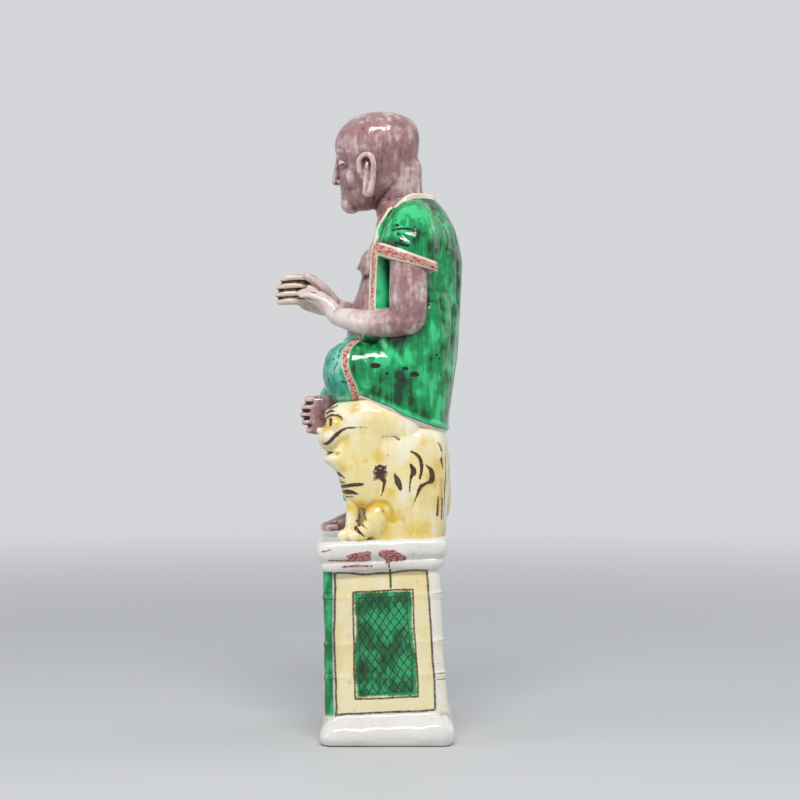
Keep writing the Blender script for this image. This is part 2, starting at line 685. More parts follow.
def tool_tiger():
    place, normal = read_skin(tiger)
    x, top = HEAD_X, TIGER_BACK_Z
    depth = np.zeros(len(place))
    mouth = [
        (x + 8.6, -17.0, top - 12.0),
        (x + 7.4, -20.6, top - 11.6),
        (x + 4.0, -24.0, top - 12.0),
        (x, -25.4, top - 12.0),
    ]
    cheek = [(x + 7.2, -23.6, top - 8.2), (x + 9.6, -19.0, top - 5.2), (x + 11.4, -13.0, top - 2.0)]
    socket = [(x + 4.6, -23.6, top + 0.6), (x + 8.4, -19.8, top + 2.0), (x + 10.6, -15.8, top + 0.6)]
    nostril = [(x + 1.5, -26.0, top - 4.2), (x + 2.6, -25.4, top - 4.8)]
    for path, deep, wide in ((mouth, 1.7, 0.7), (cheek, 0.3, 0.8), (socket, 0.45, 0.9), (nostril, 0.5, 0.6)):
        depth += deep * bell(distance(place, path), wide)
        depth += deep * bell(distance(place, mirrored(path, x)), wide)
    lip = [(x, -26.0, top - 5.2), (x, -25.8, top - 9.0)]
    depth += 0.4 * bell(distance(place, lip), 0.7)
    for y, high, low in ((4.4, 103.0, 80.0), (10.6, 98.0, 82.0)):
        depth += 0.32 * bell(distance(place, [(29.5, y, high), (29.3, y + 0.6, low)]), 1.5)
    fold = [(30.0, -9.0, 91.4), (29.5, -3.0, 93.2), (29.0, 2.4, 92.0), (29.0, 3.4, 86.0)]
    depth += 0.7 * bell(distance(place, fold), 1.1)
    for toe in (-1.25, 1.25):
        for paw_x, paw_y in ((23.6, -16.0), (26.3, -12.0)):
            cut = [(paw_x + toe, paw_y + 1.6, SLAB_TOP + 4.6), (paw_x + toe, paw_y - 1.0, SLAB_TOP + 1.0)]
            depth += 0.5 * bell(distance(place, cut), 0.5)
    slow = 0.30 * hand_marks(place, 24, 21) + 0.10 * hand_marks(place, 9, 22)
    write_skin(tiger, place + normal * (slow - depth)[:, None])


tool_tiger()

# %% [markdown]
# The tiger's stripes are quick strokes of a brown-black pigment: a wedge, a bar, a curl or a long tail.
# Each is a path of (y, z, half width) on the flank, of (x, z, half width) on the back and the front, and of
# (x, y, half width) on the crown. The unseen sides get strokes of the same hand, in other places. A pool of
# amber is a (y, z, radius).

# %% Strokes on the tiger
NEAR_STROKES = [
    [(-17.6, 104.4, 0.7), (-14.9, 102.7, 0.1)],
    [(-17.4, 101.2, 0.5), (-15.1, 100.9, 0.2)],
    [(-16.6, 99.2, 0.6), (-12.3, 100.1, 0.75), (-8.1, 100.4, 0.5)],
    [(-16.4, 97.0, 0.6), (-13.2, 97.4, 0.9), (-9.5, 96.5, 0.1)],
    [(-14.5, 95.3, 0.3), (-11.9, 95.6, 0.2)],
    [(-3.4, 104.8, 0.3), (-1.3, 104.6, 1.2), (0.8, 105.2, 0.3)],
    [(-2.7, 106.9, 0.2), (-1.2, 104.4, 1.2), (-0.6, 102.2, 0.5)],
    [(0.3, 107.0, 0.2), (-1.4, 104.6, 1.1), (-3.2, 102.6, 0.2)],
    [(0.3, 101.9, 0.7), (-0.2, 98.5, 0.4), (-1.3, 95.7, 0.1)],
    [(4.2, 104.2, 0.4), (5.3, 101.6, 1.1), (6.3, 98.9, 0.8)],
    [(10.4, 107.9, 0.5), (11.4, 105.2, 1.1), (10.3, 102.5, 0.4), (9.7, 96.0, 0.1)],
    [(10.5, 113.0, 0.35), (13.2, 111.3, 0.6), (14.4, 108.2, 0.7), (14.3, 105.1, 0.5), (13.8, 102.7, 0.4)],
    [(16.2, 107.8, 0.2), (18.2, 105.6, 0.85), (18.4, 102.0, 1.0), (16.6, 100.9, 0.5), (14.2, 99.5, 0.7),
     (12.8, 96.3, 0.4), (11.1, 92.4, 0.1)],
    [(20.9, 116.4, 0.2), (22.2, 113.1, 0.25)],
    [(22.0, 110.0, 0.4), (22.6, 106.7, 0.2)],
    [(20.9, 95.4, 0.2), (20.5, 88.4, 0.45)],
    [(22.5, 94.5, 0.2), (22.2, 86.8, 0.25)],
    [(-8.6, 90.3, 0.8), (-6.7, 86.6, 0.2)],
    [(-10.3, 86.1, 0.5), (-6.4, 83.4, 0.1)],
    [(-10.8, 83.3, 0.8), (-7.5, 80.5, 0.25)],
    [(-20.4, 125.2, 0.65), (-20.5, 123.1, 0.5)],
    [(-23.4, 115.7, 0.3), (-21.3, 116.3, 0.6), (-18.6, 119.0, 0.75), (-16.0, 121.2, 0.5), (-12.9, 122.1, 0.3),
     (-6.2, 122.3, 0.1)],
    [(-23.2, 125.2, 0.3), (-19.5, 127.0, 0.4), (-16.9, 126.5, 0.35), (-15.9, 125.0, 0.2)],
    [(-22.2, 127.4, 0.3), (-20.4, 128.4, 0.45), (-19.0, 128.3, 0.2)],
    [(-24.8, 112.4, 0.5), (-22.4, 112.1, 0.75), (-19.6, 112.5, 0.25)],
    [(-3.6, 106.2, 0.3), (-1.4, 107.4, 0.5), (0.6, 106.8, 0.3)],
    [(-19.9, 129.5, 0.35), (-18.0, 130.4, 0.2)],
    [(1.5, 111.5, 0.25), (1.6, 111.4, 0.25)],
    [(-0.4, 90.1, 0.2), (-0.3, 90.0, 0.2)],
]
FACE_STROKES = slice(20, 25)  # eye, mouth, brows and lip, which the unseen half of the face repeats
RUST_STROKES = [
    [(-1.8, 118.4, 0.1), (3.1, 118.9, 0.2), (5.7, 117.7, 0.6)],
    [(-4.2, 105.4, 0.2), (-1.3, 104.4, 1.9), (1.3, 104.9, 0.3)],
    [(-3.4, 107.6, 0.2), (-1.1, 104.4, 1.9), (-0.2, 101.6, 0.6)],
    [(1.0, 107.8, 0.2), (-1.4, 104.6, 1.8), (-4.0, 102.0, 0.2)],
]
FAR_STROKES = [
    [(-8.0, 112.0, 0.4), (-3.0, 110.5, 0.9), (1.0, 112.5, 0.2)],
    [(4.0, 116.0, 0.3), (6.0, 110.0, 0.9), (4.5, 104.0, 0.2)],
    [(9.0, 114.0, 0.2), (12.0, 109.0, 0.8), (11.0, 103.0, 0.8), (8.5, 98.0, 0.1)],
    [(16.0, 113.0, 0.3), (18.5, 107.0, 0.9), (16.5, 100.0, 0.2)],
    [(-6.0, 104.0, 0.2), (-1.0, 102.5, 0.9), (3.0, 98.0, 0.2)],
    [(2.0, 93.0, 0.3), (6.0, 91.0, 0.8), (9.0, 86.0, 0.2)],
    [(14.0, 95.0, 0.2), (16.5, 90.0, 0.7), (15.5, 84.0, 0.2)],
]
BACK_STROKES = [
    [(24.0, 116.0, 0.2), (25.5, 106.0, 0.5), (25.0, 94.0, 0.15)],
    [(21.5, 112.0, 0.2), (22.5, 100.0, 0.45), (21.8, 86.0, 0.15)],
    [(18.0, 114.0, 0.3), (17.0, 107.0, 0.9), (18.0, 99.0, 0.2)],
    [(12.5, 115.5, 0.2), (11.0, 109.0, 0.8), (12.5, 100.0, 0.6), (11.0, 93.0, 0.1)],
    [(6.5, 112.0, 0.3), (8.0, 104.0, 0.9), (6.5, 97.0, 0.2)],
    [(14.0, 92.0, 0.3), (16.0, 87.5, 0.7), (14.5, 83.0, 0.1)],
    [(4.5, 92.0, 0.2), (6.0, 87.0, 0.6), (5.0, 82.5, 0.2)],
    [(-14.5, 114.0, 0.3), (-13.0, 107.0, 0.9), (-15.0, 100.0, 0.2)],
    [(-20.5, 113.0, 0.2), (-19.0, 105.0, 0.8), (-20.5, 96.0, 0.2)],
    [(-25.0, 108.0, 0.2), (-24.0, 99.0, 0.7), (-25.5, 91.0, 0.1)],
    [(-13.0, 97.0, 0.3), (-12.0, 92.5, 0.8), (-13.5, 89.0, 0.1)],
]
FRONT_STROKES = [
    [(-25.5, 112.0, 0.2), (-22.0, 110.0, 0.9), (-17.5, 110.8, 0.2)],
    [(-26.5, 105.0, 0.2), (-22.5, 103.0, 0.9), (-18.0, 103.8, 0.6), (-14.5, 105.0, 0.1)],
    [(-26.0, 98.0, 0.3), (-22.0, 96.6, 0.8), (-17.0, 98.0, 0.2)],
    [(-13.0, 115.0, 0.3), (-10.0, 112.4, 0.8), (-8.6, 108.0, 0.1)],
    [(-15.0, 92.0, 0.2), (-12.0, 89.5, 0.7), (-11.0, 86.0, 0.1)],
]
CROWN_STROKES = [
    [(HEAD_X - 2.6, -14.0, 0.3), (HEAD_X, -15.4, 0.6), (HEAD_X + 2.6, -14.0, 0.3)],
    [(HEAD_X - 3.6, -10.0, 0.3), (HEAD_X, -11.6, 0.7), (HEAD_X + 3.6, -10.0, 0.3)],
    [(HEAD_X, -19.0, 0.3), (HEAD_X, -8.0, 0.35)],
]
AMBER_POOLS = [
    (-11.5, 129.6, 2.6), (2.6, 96.3, 2.8), (-1.3, 93.4, 2.6), (3.2, 88.0, 2.6), (1.8, 81.7, 3.6),
    (8.8, 82.5, 4.2), (15.4, 83.0, 4.0), (-22.2, 121.9, 3.0), (-15.0, 117.3, 3.0), (15.8, 116.6, 3.2),
    (-18.0, 124.6, 2.8), (20.0, 108.0, 3.4), (-12.4, 91.0, 2.4), (-22.0, 116.0, 2.4),
    (-8.0, 92.6, 2.4), (-15.0, 107.0, 3.2), (20.5, 94.0, 3.2), (-1.0, 111.0, 3.4),
]


def paint_tiger():
    place, normal = read_skin(tiger)
    x, y, z = place.T
    flank, spine = np.stack([y, z], axis=1), np.stack([x, z], axis=1)
    near = np.min([stroke(flank, path) for path in NEAR_STROKES], axis=0)
    far = np.min([stroke(flank, path) for path in FAR_STROKES], axis=0)
    back = np.min([stroke(spine, path) for path in BACK_STROKES], axis=0)
    ink = np.full(len(x), FAR)
    facing = normal[:, 0]
    near_side = (x > HEAD_X + 2.0) & (facing > 0.15) | ((x > HEAD_X + 4) & (z > 112))
    ink = np.where(near_side, near, ink)
    ink = np.where((x < -16) & (facing < -0.2), far, ink)
    ink = np.where((normal[:, 1] > 0.45) & (y > 12) & (facing < 0.55), np.minimum(back, ink), ink)
    ahead = np.min([stroke(spine, path) for path in FRONT_STROKES], axis=0)
    ink = np.where((normal[:, 1] < -0.5) & (x < 4) & (z > 82), ahead, ink)
    face = (x <= HEAD_X) & (x > HEAD_X - 14) & (y < -12) & (z > 112)
    ink = np.where(face, np.min([stroke(flank, path) for path in NEAR_STROKES[FACE_STROKES]], axis=0), ink)
    above = (normal[:, 2] > 0.5) & (z > 124)
    crown = np.min([stroke(place[:, :2], path) for path in CROWN_STROKES], axis=0)
    ink = np.where(above, np.minimum(ink, crown), ink)
    rust = np.min([stroke(flank, path) for path in RUST_STROKES], axis=0)
    keep(tiger, "ink", ink)
    keep(tiger, "rust", np.where(near_side, rust, FAR))
    pool = np.zeros(len(x))
    for py, pz, size in AMBER_POOLS:
        pool = np.maximum(pool, bell(np.hypot(y - py, z - pz), 1.15 * size))
    keep(tiger, "amber", np.where(facing > 0, pool, 0.4 * pool))


paint_tiger()
keep_hollow(tiger)
smooth_shaded(tiger)

# %% [markdown]
# ## The robe
#
# The robe is one heap of clay: a bolster round the hips, a tapering back, round short sleeves and the
# cloth over both knees. Trousers show in front of the robe's edge, in a bluer green. A raised border runs
# from the nape over the shoulders, down beside the bare chest, across the thighs and down to the hem.

# %% The robe's forms
SLEEVE_OUT = 24.2
THIGH_OUT = 16.6


def robe_forms():
    hips = [
        # middle y, z, half width, half depth, tilt
        (6.4, SEAT + 1.2, 26.6, 17.6, -0.37),
        (6.2, SEAT + 3.6, 28.3, 18.8, -0.37),
        (6.2, SEAT + 6.2, 28.5, 19.1, -0.35),
        (6.4, SEAT + 13.0, 28.3, 19.8, -0.22),
        (6.9, SEAT + 21.0, 27.6, 20.2, -0.10),
        (6.6, LAP - 5.8, 26.2, 19.4, -0.06),
        (6.4, LAP - 1.6, 22.6, 16.8, -0.10),
        (8.4, LAP + 0.8, 17.0, 12.0, -0.10),
    ]
    trunk = [
        (9.3, LAP - 26.5, 23.0, 17.0, 0.0),
        (10.2, LAP - 14.5, 23.0, 17.3, 0.0),
        (11.0, LAP - 2.5, 22.2, 17.7, 0.0),
        (12.1, LAP + 10.5, 20.8, 17.7, 0.0),
        (12.6, SHOULDER - 30.0, 20.8, 17.7, 0.0),
        (12.7, SHOULDER - 20.0, 21.6, 17.3, 0.0),
        (12.9, SHOULDER - 12.0, 21.8, 15.3, 0.0),
        (12.6, SHOULDER - 5.0, 18.6, 12.4, 0.0),
        (12.2, SHOULDER - 0.8, 13.4, 9.4, 0.0),
        (12.0, SHOULDER + 1.6, 9.4, 6.6, 0.0),
    ]
    grids = [stack(hips, 3.0), stack(trunk, 2.3)]
    for side in (-1, 1):
        flare = [
            (side * 14.0, 14.5, LAP + 15.0, 8.0, 12.0),
            (side * 17.8, 11.8, LAP + 1.0, 8.8, 13.8),
            (side * 19.6, 8.6, LAP - 12.0, 8.6, 15.0),
        ]
        sleeve = [
            (side * 11.0, 11.5, SHOULDER - 7.5, 8.2, 8.6),
            (side * 17.6, 10.9, SHOULDER - 10.6, 10.2, 9.2),
            (side * (SLEEVE_OUT - 1.2), 10.3, SHOULDER - 16.8, 11.5, 8.4),
            (side * SLEEVE_OUT, 9.9, SHOULDER - 20.2, 11.5, 7.9),
            (side * (SLEEVE_OUT - 0.2), 9.2, SHOULDER - 22.4, 11.0, 7.4),
        ]
        lapel = [
            (side * 13.6, 3.4, SHOULDER - 5.0, 2.2, 2.6),
            (side * 16.0, -0.6, SHOULDER - 14.0, 2.6, 3.0),
            (side * 17.0, -1.6, SHOULDER - 24.0, 2.8, 3.2),
            (side * 17.2, -2.0, SHOULDER - 40.0, 2.8, 3.4),
            (side * 17.4, -4.6, SHOULDER - 52.0, 3.0, 3.8),
        ]
        grids += [roll(flare, up=(0, 1, 0)), roll(sleeve, up=(1, 0, 0), cap=1.0)]
        grids.append(roll(lapel, up=(0, 1, 0), power=2.6))
        low = 0.0 if side > 0 else 1.5
        thigh = [
            (side * 13.0, 10.0, LAP - 13.5, 12.0, 12.8),
            (side * 15.5, -1.0, LAP - 13.0, 12.0, 13.0),
            (side * THIGH_OUT, -11.6, LAP - 12.6 - low, 11.6, 12.7),
        ]
        grids.append(roll(thigh, power=2.2, cap=12.2))
    return grids


def trouser_forms():
    """Cloth over the seat between the knees, the right shin across the front, the left one hanging."""
    grids = [ball(0, -4.2, LAP - 11.5, 16.0, 10.9, 12.6)]
    across = [
        (-17.0, -15.5, LAP - 19.0, 8.4, 8.4),
        (-8.0, -18.4, LAP - 23.5, 7.8, 7.8),
        (-0.5, -18.2, LAP - 26.0, 6.6, 6.6),
    ]
    grids.append(roll(across))
    down = [
        (9.0, -12.0, LAP - 20.0, 8.4, 8.4),
        (6.0, -10.0, SLAB_TOP + 48.0, 7.2, 7.2),
        (4.2, -9.4, SLAB_TOP + 32.0, 6.4, 6.4),
        (3.4, -9.2, SLAB_TOP + 20.0, 6.6, 6.6),
        (3.2, -9.2, SLAB_TOP + 14.0, 7.2, 7.2),
    ]
    grids.append(roll(down, up=(0, 1, 0), cap=2.0))
    half_sash = [(14.6, -8.6, LAP + 1.4, 1.3, 1.7), (8.0, -13.4, LAP + 0.2, 1.3, 1.7)]
    sash = [(-x, *rest) for x, *rest in half_sash] + [(0.0, -14.8, LAP - 0.4, 1.3, 1.7)] + half_sash[::-1]
    grids.append(roll(sash))
    return grids


CUFF_MIDDLE = (SLEEVE_OUT + 0.2, 9.3, SHOULDER - 22.9)
CUFF_HALF = (7.3, 10.9)
CUFF_FALL = 3.5
BORDER = [
    # x, y, z from the nape, over the shoulder and down to the lap
    (0.0, 19.4, 211.4), (5.0, 18.8, 211.6), (9.0, 15.0, 212.0), (11.0, 10.4, 211.8), (12.2, 6.8, 209.4),
    (13.2, 2.9, 205.2), (14.2, -0.2, 201.4), (15.2, -2.3, 197.4), (15.9, -3.7, 192.6), (16.3, -4.5, 187.8),
    (16.6, -4.9, 178.0), (16.7, -5.2, 168.0), (17.2, -8.0, 157.5),
]
BAND_EDGE = [
    # y, z of the robe's front edge, from the lap down to the hem
    (-13.5, 155.0), (-14.4, 151.7), (-14.9, 147.7), (-14.6, 145.0), (-13.4, 141.5), (-12.0, 138.3),
    (-11.0, 134.4), (-10.4, 130.0), (-10.0, 124.0),
]


def border_forms():
    right = [(x, y, z, 1.0, 1.05) for x, y, z in BORDER]
    left = [(-x, y, z, 1.0, 1.05) for x, y, z in BORDER[::-1]]
    return [roll(left[:-1] + right, up=(0.2, 1, 0.1), between=6)]


def cuff_ring():
    """The middle of a sleeve's band: an ellipse in x and y, whose height falls with the sine of its angle."""
    turn = np.linspace(0, 2 * np.pi, 25)
    x = CUFF_MIDDLE[0] + CUFF_HALF[0] * np.cos(turn)
    y = CUFF_MIDDLE[1] + CUFF_HALF[1] * np.sin(turn)
    z = CUFF_MIDDLE[2] - CUFF_FALL * np.sin(turn)
    return np.stack([x, y, z], axis=1)


def cuff_forms():
    """The raised band round the mouth of a sleeve: a ring of clay, lower behind than in front."""
    middle = cuff_ring()
    tall = 2.2 - 0.25 * (middle[:, 1:2] - CUFF_MIDDLE[1]) / CUFF_HALF[1]
    rows = np.hstack([middle, 0 * tall + 1.0, tall])
    return [roll(rows * (side, 1, 1, 1, 1), between=3) for side in (-1, 1)]


robe = fuse("robe", robe_forms() + trouser_forms() + border_forms() + cuff_forms(), 0.54, 4)
hollow_out(robe)

# %% [markdown]
# Cloth pressed in a mould has few folds, and each one is a soft furrow with a lip beside it. Folds fan out
# over the back from the shoulders, run down beside the knees, and drape between the shins.

# %% Folds of the robe
SIDE_FOLDS = [
    ([(28.0, -4.8, 147.0), (28.6, -4.8, 141.0), (28.4, -4.2, 133.0)], 0.55, 0.8),
    ([(26.0, -9.6, 147.5), (27.0, -9.6, 142.0), (27.4, -8.8, 137.0)], 0.35, 0.9),
    ([(23.0, 2.0, 156.5), (27.0, 6.0, 151.0), (28.6, 12.0, 142.0)], 0.30, 1.6),
    ([(22.0, 17.0, 170.0), (24.0, 16.6, 156.0), (26.6, 17.0, 140.0), (26.8, 16.0, 128.0)], 0.50, 1.5),
    ([(19.6, 22.0, 186.0), (20.6, 22.0, 168.0), (21.5, 22.0, 150.0)], 0.45, 1.6),
    ([(26.5, 13.0, 203.0), (27.5, 15.5, 196.0), (26.0, 18.0, 190.0)], 0.35, 1.2),
    ([(27.5, 3.5, 199.0), (30.5, 7.0, 195.5), (31.5, 11.0, 193.0)], 0.30, 1.0),
]
BACK_FOLDS = [
    ([(2.5, 29.0, 200.0), (3.0, 31.0, 182.0), (1.5, 30.5, 160.0), (2.5, 28.0, 138.0)], 0.5, 1.5),
    ([(8.0, 28.0, 203.0), (10.5, 29.5, 188.0), (9.0, 29.0, 170.0)], 0.5, 1.4),
    ([(-5.0, 28.5, 202.0), (-8.0, 30.0, 186.0), (-7.0, 29.5, 166.0), (-9.0, 28.0, 146.0)], 0.5, 1.5),
    ([(12.0, 27.0, 168.0), (13.5, 26.5, 150.0), (12.0, 25.5, 132.0)], 0.5, 1.6),
    ([(-13.0, 27.0, 196.0), (-15.5, 26.5, 178.0), (-14.5, 26.5, 160.0)], 0.45, 1.5),
    ([(-16.0, 25.0, 158.0), (-17.5, 24.5, 144.0), (-16.0, 24.0, 130.0)], 0.45, 1.6),
]
FRONT_FOLDS = [
    ([(0.0, -14.6, 152.0), (1.0, -16.0, 145.0), (4.0, -17.0, 138.0)], 0.6, 1.3),
    ([(-7.0, -14.0, 152.0), (-4.0, -18.0, 146.0), (-2.0, -22.0, 139.0)], 0.6, 1.3),
    ([(9.0, -22.0, 150.0), (7.0, -20.0, 143.0), (8.0, -18.0, 136.0)], 0.6, 1.2),
    ([(-22.0, -20.0, 136.0), (-12.0, -25.0, 133.5), (-3.0, -25.0, 130.5)], 0.5, 1.0),
    ([(-20.0, -18.0, 131.0), (-11.0, -22.5, 127.5), (-4.0, -23.0, 126.0)], 0.4, 1.0),
    ([(7.0, -16.5, 130.0), (3.5, -16.5, 118.0), (5.0, -15.8, 108.0)], 0.5, 1.1),
    ([(1.5, -15.5, 124.0), (0.5, -15.5, 112.0), (2.0, -15.8, 102.0)], 0.4, 1.0),
]


def band_edge_y(x, z):
    """The y at which the robe's front edge lies: a curve over z, further back on top of the lap."""
    levels = smooth_line([(y, z) for y, z in BAND_EDGE[::-1]], 6)
    side = np.interp(z, levels[:, 1], levels[:, 0])
    return side + 0.45 * np.clip(27 - np.abs(x), 0, 14) * ramp(z, 150.5, 155.5)


def hem_level(y):
    """The height of the hem at the side: a line that falls towards the back, and steps up in front."""
    return 127.5 - 0.372 * (y - 6.4) + 1.3 * ramp(-y, -9, -2)


def border_distance(place):
    folded = place * (np.sign(place[:, :1]) * (1, 0, 0) + (0, 1, 1))
    return distance(folded, BORDER, 4)


def cuff_height(place):
    """Height above the middle of the sleeve band, and how far from the band's ring a point is."""
    x, y, z = place.T
    folded = np.stack([np.abs(x), y, z], axis=1)
    level = CUFF_MIDDLE[2] - CUFF_FALL * (y - CUFF_MIDDLE[1]) / CUFF_HALF[1]
    return z - level, distance(folded, cuff_ring(), 1)


def shape_robe():
    place, normal = read_skin(robe)
    x, y, z = place.T
    depth = np.zeros(len(place))
    folded = np.stack([np.abs(x), y, z], axis=1)
    for path, deep, wide in SIDE_FOLDS:
        depth += deep * bell(distance(folded, path), wide)
        depth -= 0.35 * deep * bell(distance(folded, [(px, py - 1.9, pz) for px, py, pz in path]), wide)
    for path, deep, wide in BACK_FOLDS + FRONT_FOLDS:
        gap = distance(place, path)
        depth += deep * bell(gap, wide)
        depth -= 0.3 * deep * bell(gap - 2.4, 1.2)
    edge = y - band_edge_y(x, z)
    over_hem = z - hem_level(y)
    on_lap = (z < 157.5) & (z > 130.0) & (np.abs(x) > 13.5) & (border_distance(place) > 1.0)
    rise = np.where(on_lap & (over_hem > 0), 0.42 * (ramp(edge, -1.9, -1.3) - ramp(edge, 1.2, 2.6)), 0.0)
    hem_roll = 0.45 * (ramp(over_hem, -0.6, 0.2) - ramp(over_hem, 0.8, 3.0))
    rise = rise + np.where((over_hem < 6) & (y > -12), hem_roll, 0)
    slow = 0.34 * hand_marks(place, 26, 31) + 0.12 * hand_marks(place, 10, 32)
    slow += 0.04 * hand_marks(place, 4, 33)
    write_skin(robe, place + normal * (slow + rise - depth)[:, None])


shape_robe()

# %% [markdown]
# The painter filled the robe with leaf green that runs and pools, left the borders cream with iron-red
# dashes, and flicked black from the brush. Strokes are again paths of (y, z, half width). A splash is an
# oval: y, z, size and how long it is. The knees carry short dashes, placed by (y, z) at the side and by
# their distance from the knee's middle in front.

# %% Marks on the robe
ROBE_SPLASHES = [
    (-3.2, 145.9, 1.3, 2.4), (8.2, 144.8, 0.9, 2.2), (11.8, 142.6, 1.3, 2.2), (1.2, 142.9, 0.8, 1.4),
    (3.1, 140.9, 0.5, 1.0), (7.4, 140.2, 0.9, 1.8), (4.6, 143.6, 0.3, 1.2), (20.4, 149.9, 0.6, 0.8),
    (21.2, 148.7, 0.6, 0.8), (21.2, 146.5, 0.5, 0.9), (23.4, 147.7, 0.3, 0.8), (21.9, 142.3, 0.45, 1.0),
    (5.1, 199.6, 0.85, 1.2), (4.8, 201.7, 0.4, 1.2), (3.3, 199.8, 0.35, 1.0), (2.3, 197.2, 0.35, 0.7),
    (5.5, 196.3, 0.8, 0.8), (6.6, 193.9, 0.9, 0.8), (20.5, 200.0, 0.35, 0.8), (24.2, 160.0, 0.35, 0.8),
    (22.0, 163.4, 0.4, 1.6), (25.0, 156.8, 0.5, 0.8), (26.0, 154.0, 0.35, 0.8),
]
ROBE_STROKES = [
    [(2.9, 197.7, 0.3), (7.3, 198.3, 0.45), (12.6, 197.6, 0.3)],
    [(2.9, 193.2, 0.4), (5.8, 192.5, 0.7), (9.3, 191.7, 0.6)],
    [(18.0, 206.4, 0.3), (19.4, 204.2, 0.5)],
    [(21.4, 203.6, 0.3), (22.8, 201.2, 0.5)],
    [(23.0, 199.6, 0.2), (24.6, 195.4, 0.3), (24.2, 190.4, 0.45)],
    [(25.8, 141.0, 0.2), (26.2, 134.0, 0.4), (25.8, 128.0, 0.2)],
    [(-16.5, 140.3, 0.2), (-15.3, 139.3, 0.35), (-13.7, 139.9, 0.2)],
]
KNEE_DASHES = [
    (-20.8, 149.9), (-18.9, 151.0), (-17.5, 149.3), (-19.6, 147.9), (-18.1, 146.6), (-22.0, 146.4),
    (-21.0, 144.2), (-20.0, 143.5), (-18.9, 144.7), (-20.2, 151.4), (-22.5, 142.0), (-21.8, 140.4),
    (-17.0, 151.6), (-22.6, 138.4),
]
KNEE_FRONT = [
    (-5.2, 6.2), (-1.6, 8.0), (2.6, 7.0), (5.4, 4.2), (-6.4, 1.8), (-2.6, 3.6), (1.2, 3.2), (4.0, 0.4),
    (-4.2, -1.4), (-0.4, -0.4), (6.6, -2.6), (2.2, -3.8), (-2.2, -5.4), (4.6, -6.6), (-6.0, -5.0),
]


def paint_robe():
    place, normal = read_skin(robe)
    x, y, z = place.T
    flat = np.stack([y, z], axis=1)
    near = (normal[:, 0] > 0.05) & (x > 8)
    splash = np.full(len(x), FAR)
    for py, pz, size, long in ROBE_SPLASHES:
        splash = np.minimum(splash, np.hypot((y - py) / (0.3 + 0.6 * long), (z - pz) * 1.1) - 0.9 * size)
    for path in ROBE_STROKES:
        splash = np.minimum(splash, stroke(flat, path))
    keep(robe, "splash", np.where(near, splash, FAR))
    dashes = np.full(len(x), FAR)
    for py, pz in KNEE_DASHES:
        dash = [(py - 0.2, pz - 0.7, 0.22), (py + 0.25, pz + 0.7, 0.3)]
        dashes = np.minimum(dashes, stroke(flat, dash))
    dashes = np.where(np.abs(normal[:, 0]) > 0.55, dashes, FAR)
    ahead = np.stack([np.abs(x) - THIGH_OUT, z - LAP + 12.6], axis=1)
    front = np.full(len(x), FAR)
    for px, pz in KNEE_FRONT:
        dash = [(px - 0.2, pz - 0.7, 0.24), (px + 0.2, pz + 0.7, 0.3)]
        front = np.minimum(front, stroke(ahead, dash))
    keep(robe, "knee_dash", np.where((normal[:, 1] < -0.6) & (z > 134), front, dashes))
    wobble = 0.28 * hand_marks(place, 12, 41)
    edge = y - band_edge_y(x, z)
    over_hem = z - hem_level(y) + wobble
    gap = border_distance(place)
    lapel = BORDER[:4:-1]
    line_y = np.interp(z, [level for _, _, level in lapel], [back for _, back, _ in lapel])
    reach = np.clip(15.9 + 0.3 * (205 - z), 15.0, 20.6)
    beside = (z > 160) & (z < 209.5) & (np.abs(x) > 11.5) & (np.abs(x) < reach) & (y < 12)
    middle_gap = np.where(beside, np.abs(y - line_y - 0.6), gap)
    gap = np.where(beside, np.minimum(gap, 0.8 * np.clip(y - line_y, 0, 9) + 1.3 * ramp(z, 188, 198)), gap)
    crossing = (z < 158) & (np.abs(x) > 12.5) & (y < 0)
    band = np.where(crossing & (z > 130), np.abs(edge) - 0.2, FAR)
    cuff, ring_gap = cuff_height(place)
    ring_out = np.hypot((np.abs(x) - CUFF_MIDDLE[0]) / CUFF_HALF[0], (y - CUFF_MIDDLE[1]) / CUFF_HALF[1])
    lip = np.where((ring_out <= 1.02) & (np.abs(x) > 17) & (z < 190) & (z > 176) & (cuff < -1.2), 1.0, 0.0)
    on_cuff = (ring_gap < 3.0) & (ring_out > 0.8) & (np.abs(x) > 17.5 + 0.25 * np.clip(y - 9, 0, 12))
    cuff = np.where(on_cuff, np.abs(cuff - 0.1) - 2.3 + 0.03 * (y - 9), FAR)
    keep(robe, "border", np.minimum(np.minimum(gap - 1.6, band - 1.15), cuff) + 0.3 * wobble)
    dashed = middle_gap - 0.75 + 1.2 * ramp(z, 190, 200)
    keep(robe, "border_red", np.minimum(np.minimum(dashed, band - 0.9), cuff + 0.85) + 0.5 * wobble)
    keep(robe, "border_line", np.minimum(np.abs(gap - 1.8), np.abs(cuff)) + 0.2 * np.abs(wobble))
    keep(robe, "sleeve_lip", lip * ramp(-normal[:, 2], -0.1, 0.4))
    trousers = np.where((np.abs(x) < 13) & (z < 157), edge - 3.0, edge)
    keep(robe, "trousers", np.where((z < 157.5) & (y < 2), trousers, FAR))
    keep(robe, "over_hem", np.where(y > -11.5, over_hem, FAR))


paint_robe()
keep_hollow(robe)
smooth_shaded(robe)

# %% [markdown]
# ## Head, neck and chest
#
# The head is shaven and nods a little. Its face is plain and calm and set out as drawing books teach: the
# eyes halfway up, the nose ending a quarter of the height above the chin, the mouth a third below it, and
# long ears from the brow line down past the jaw. Lowered lids and lips are modelled, not painted.

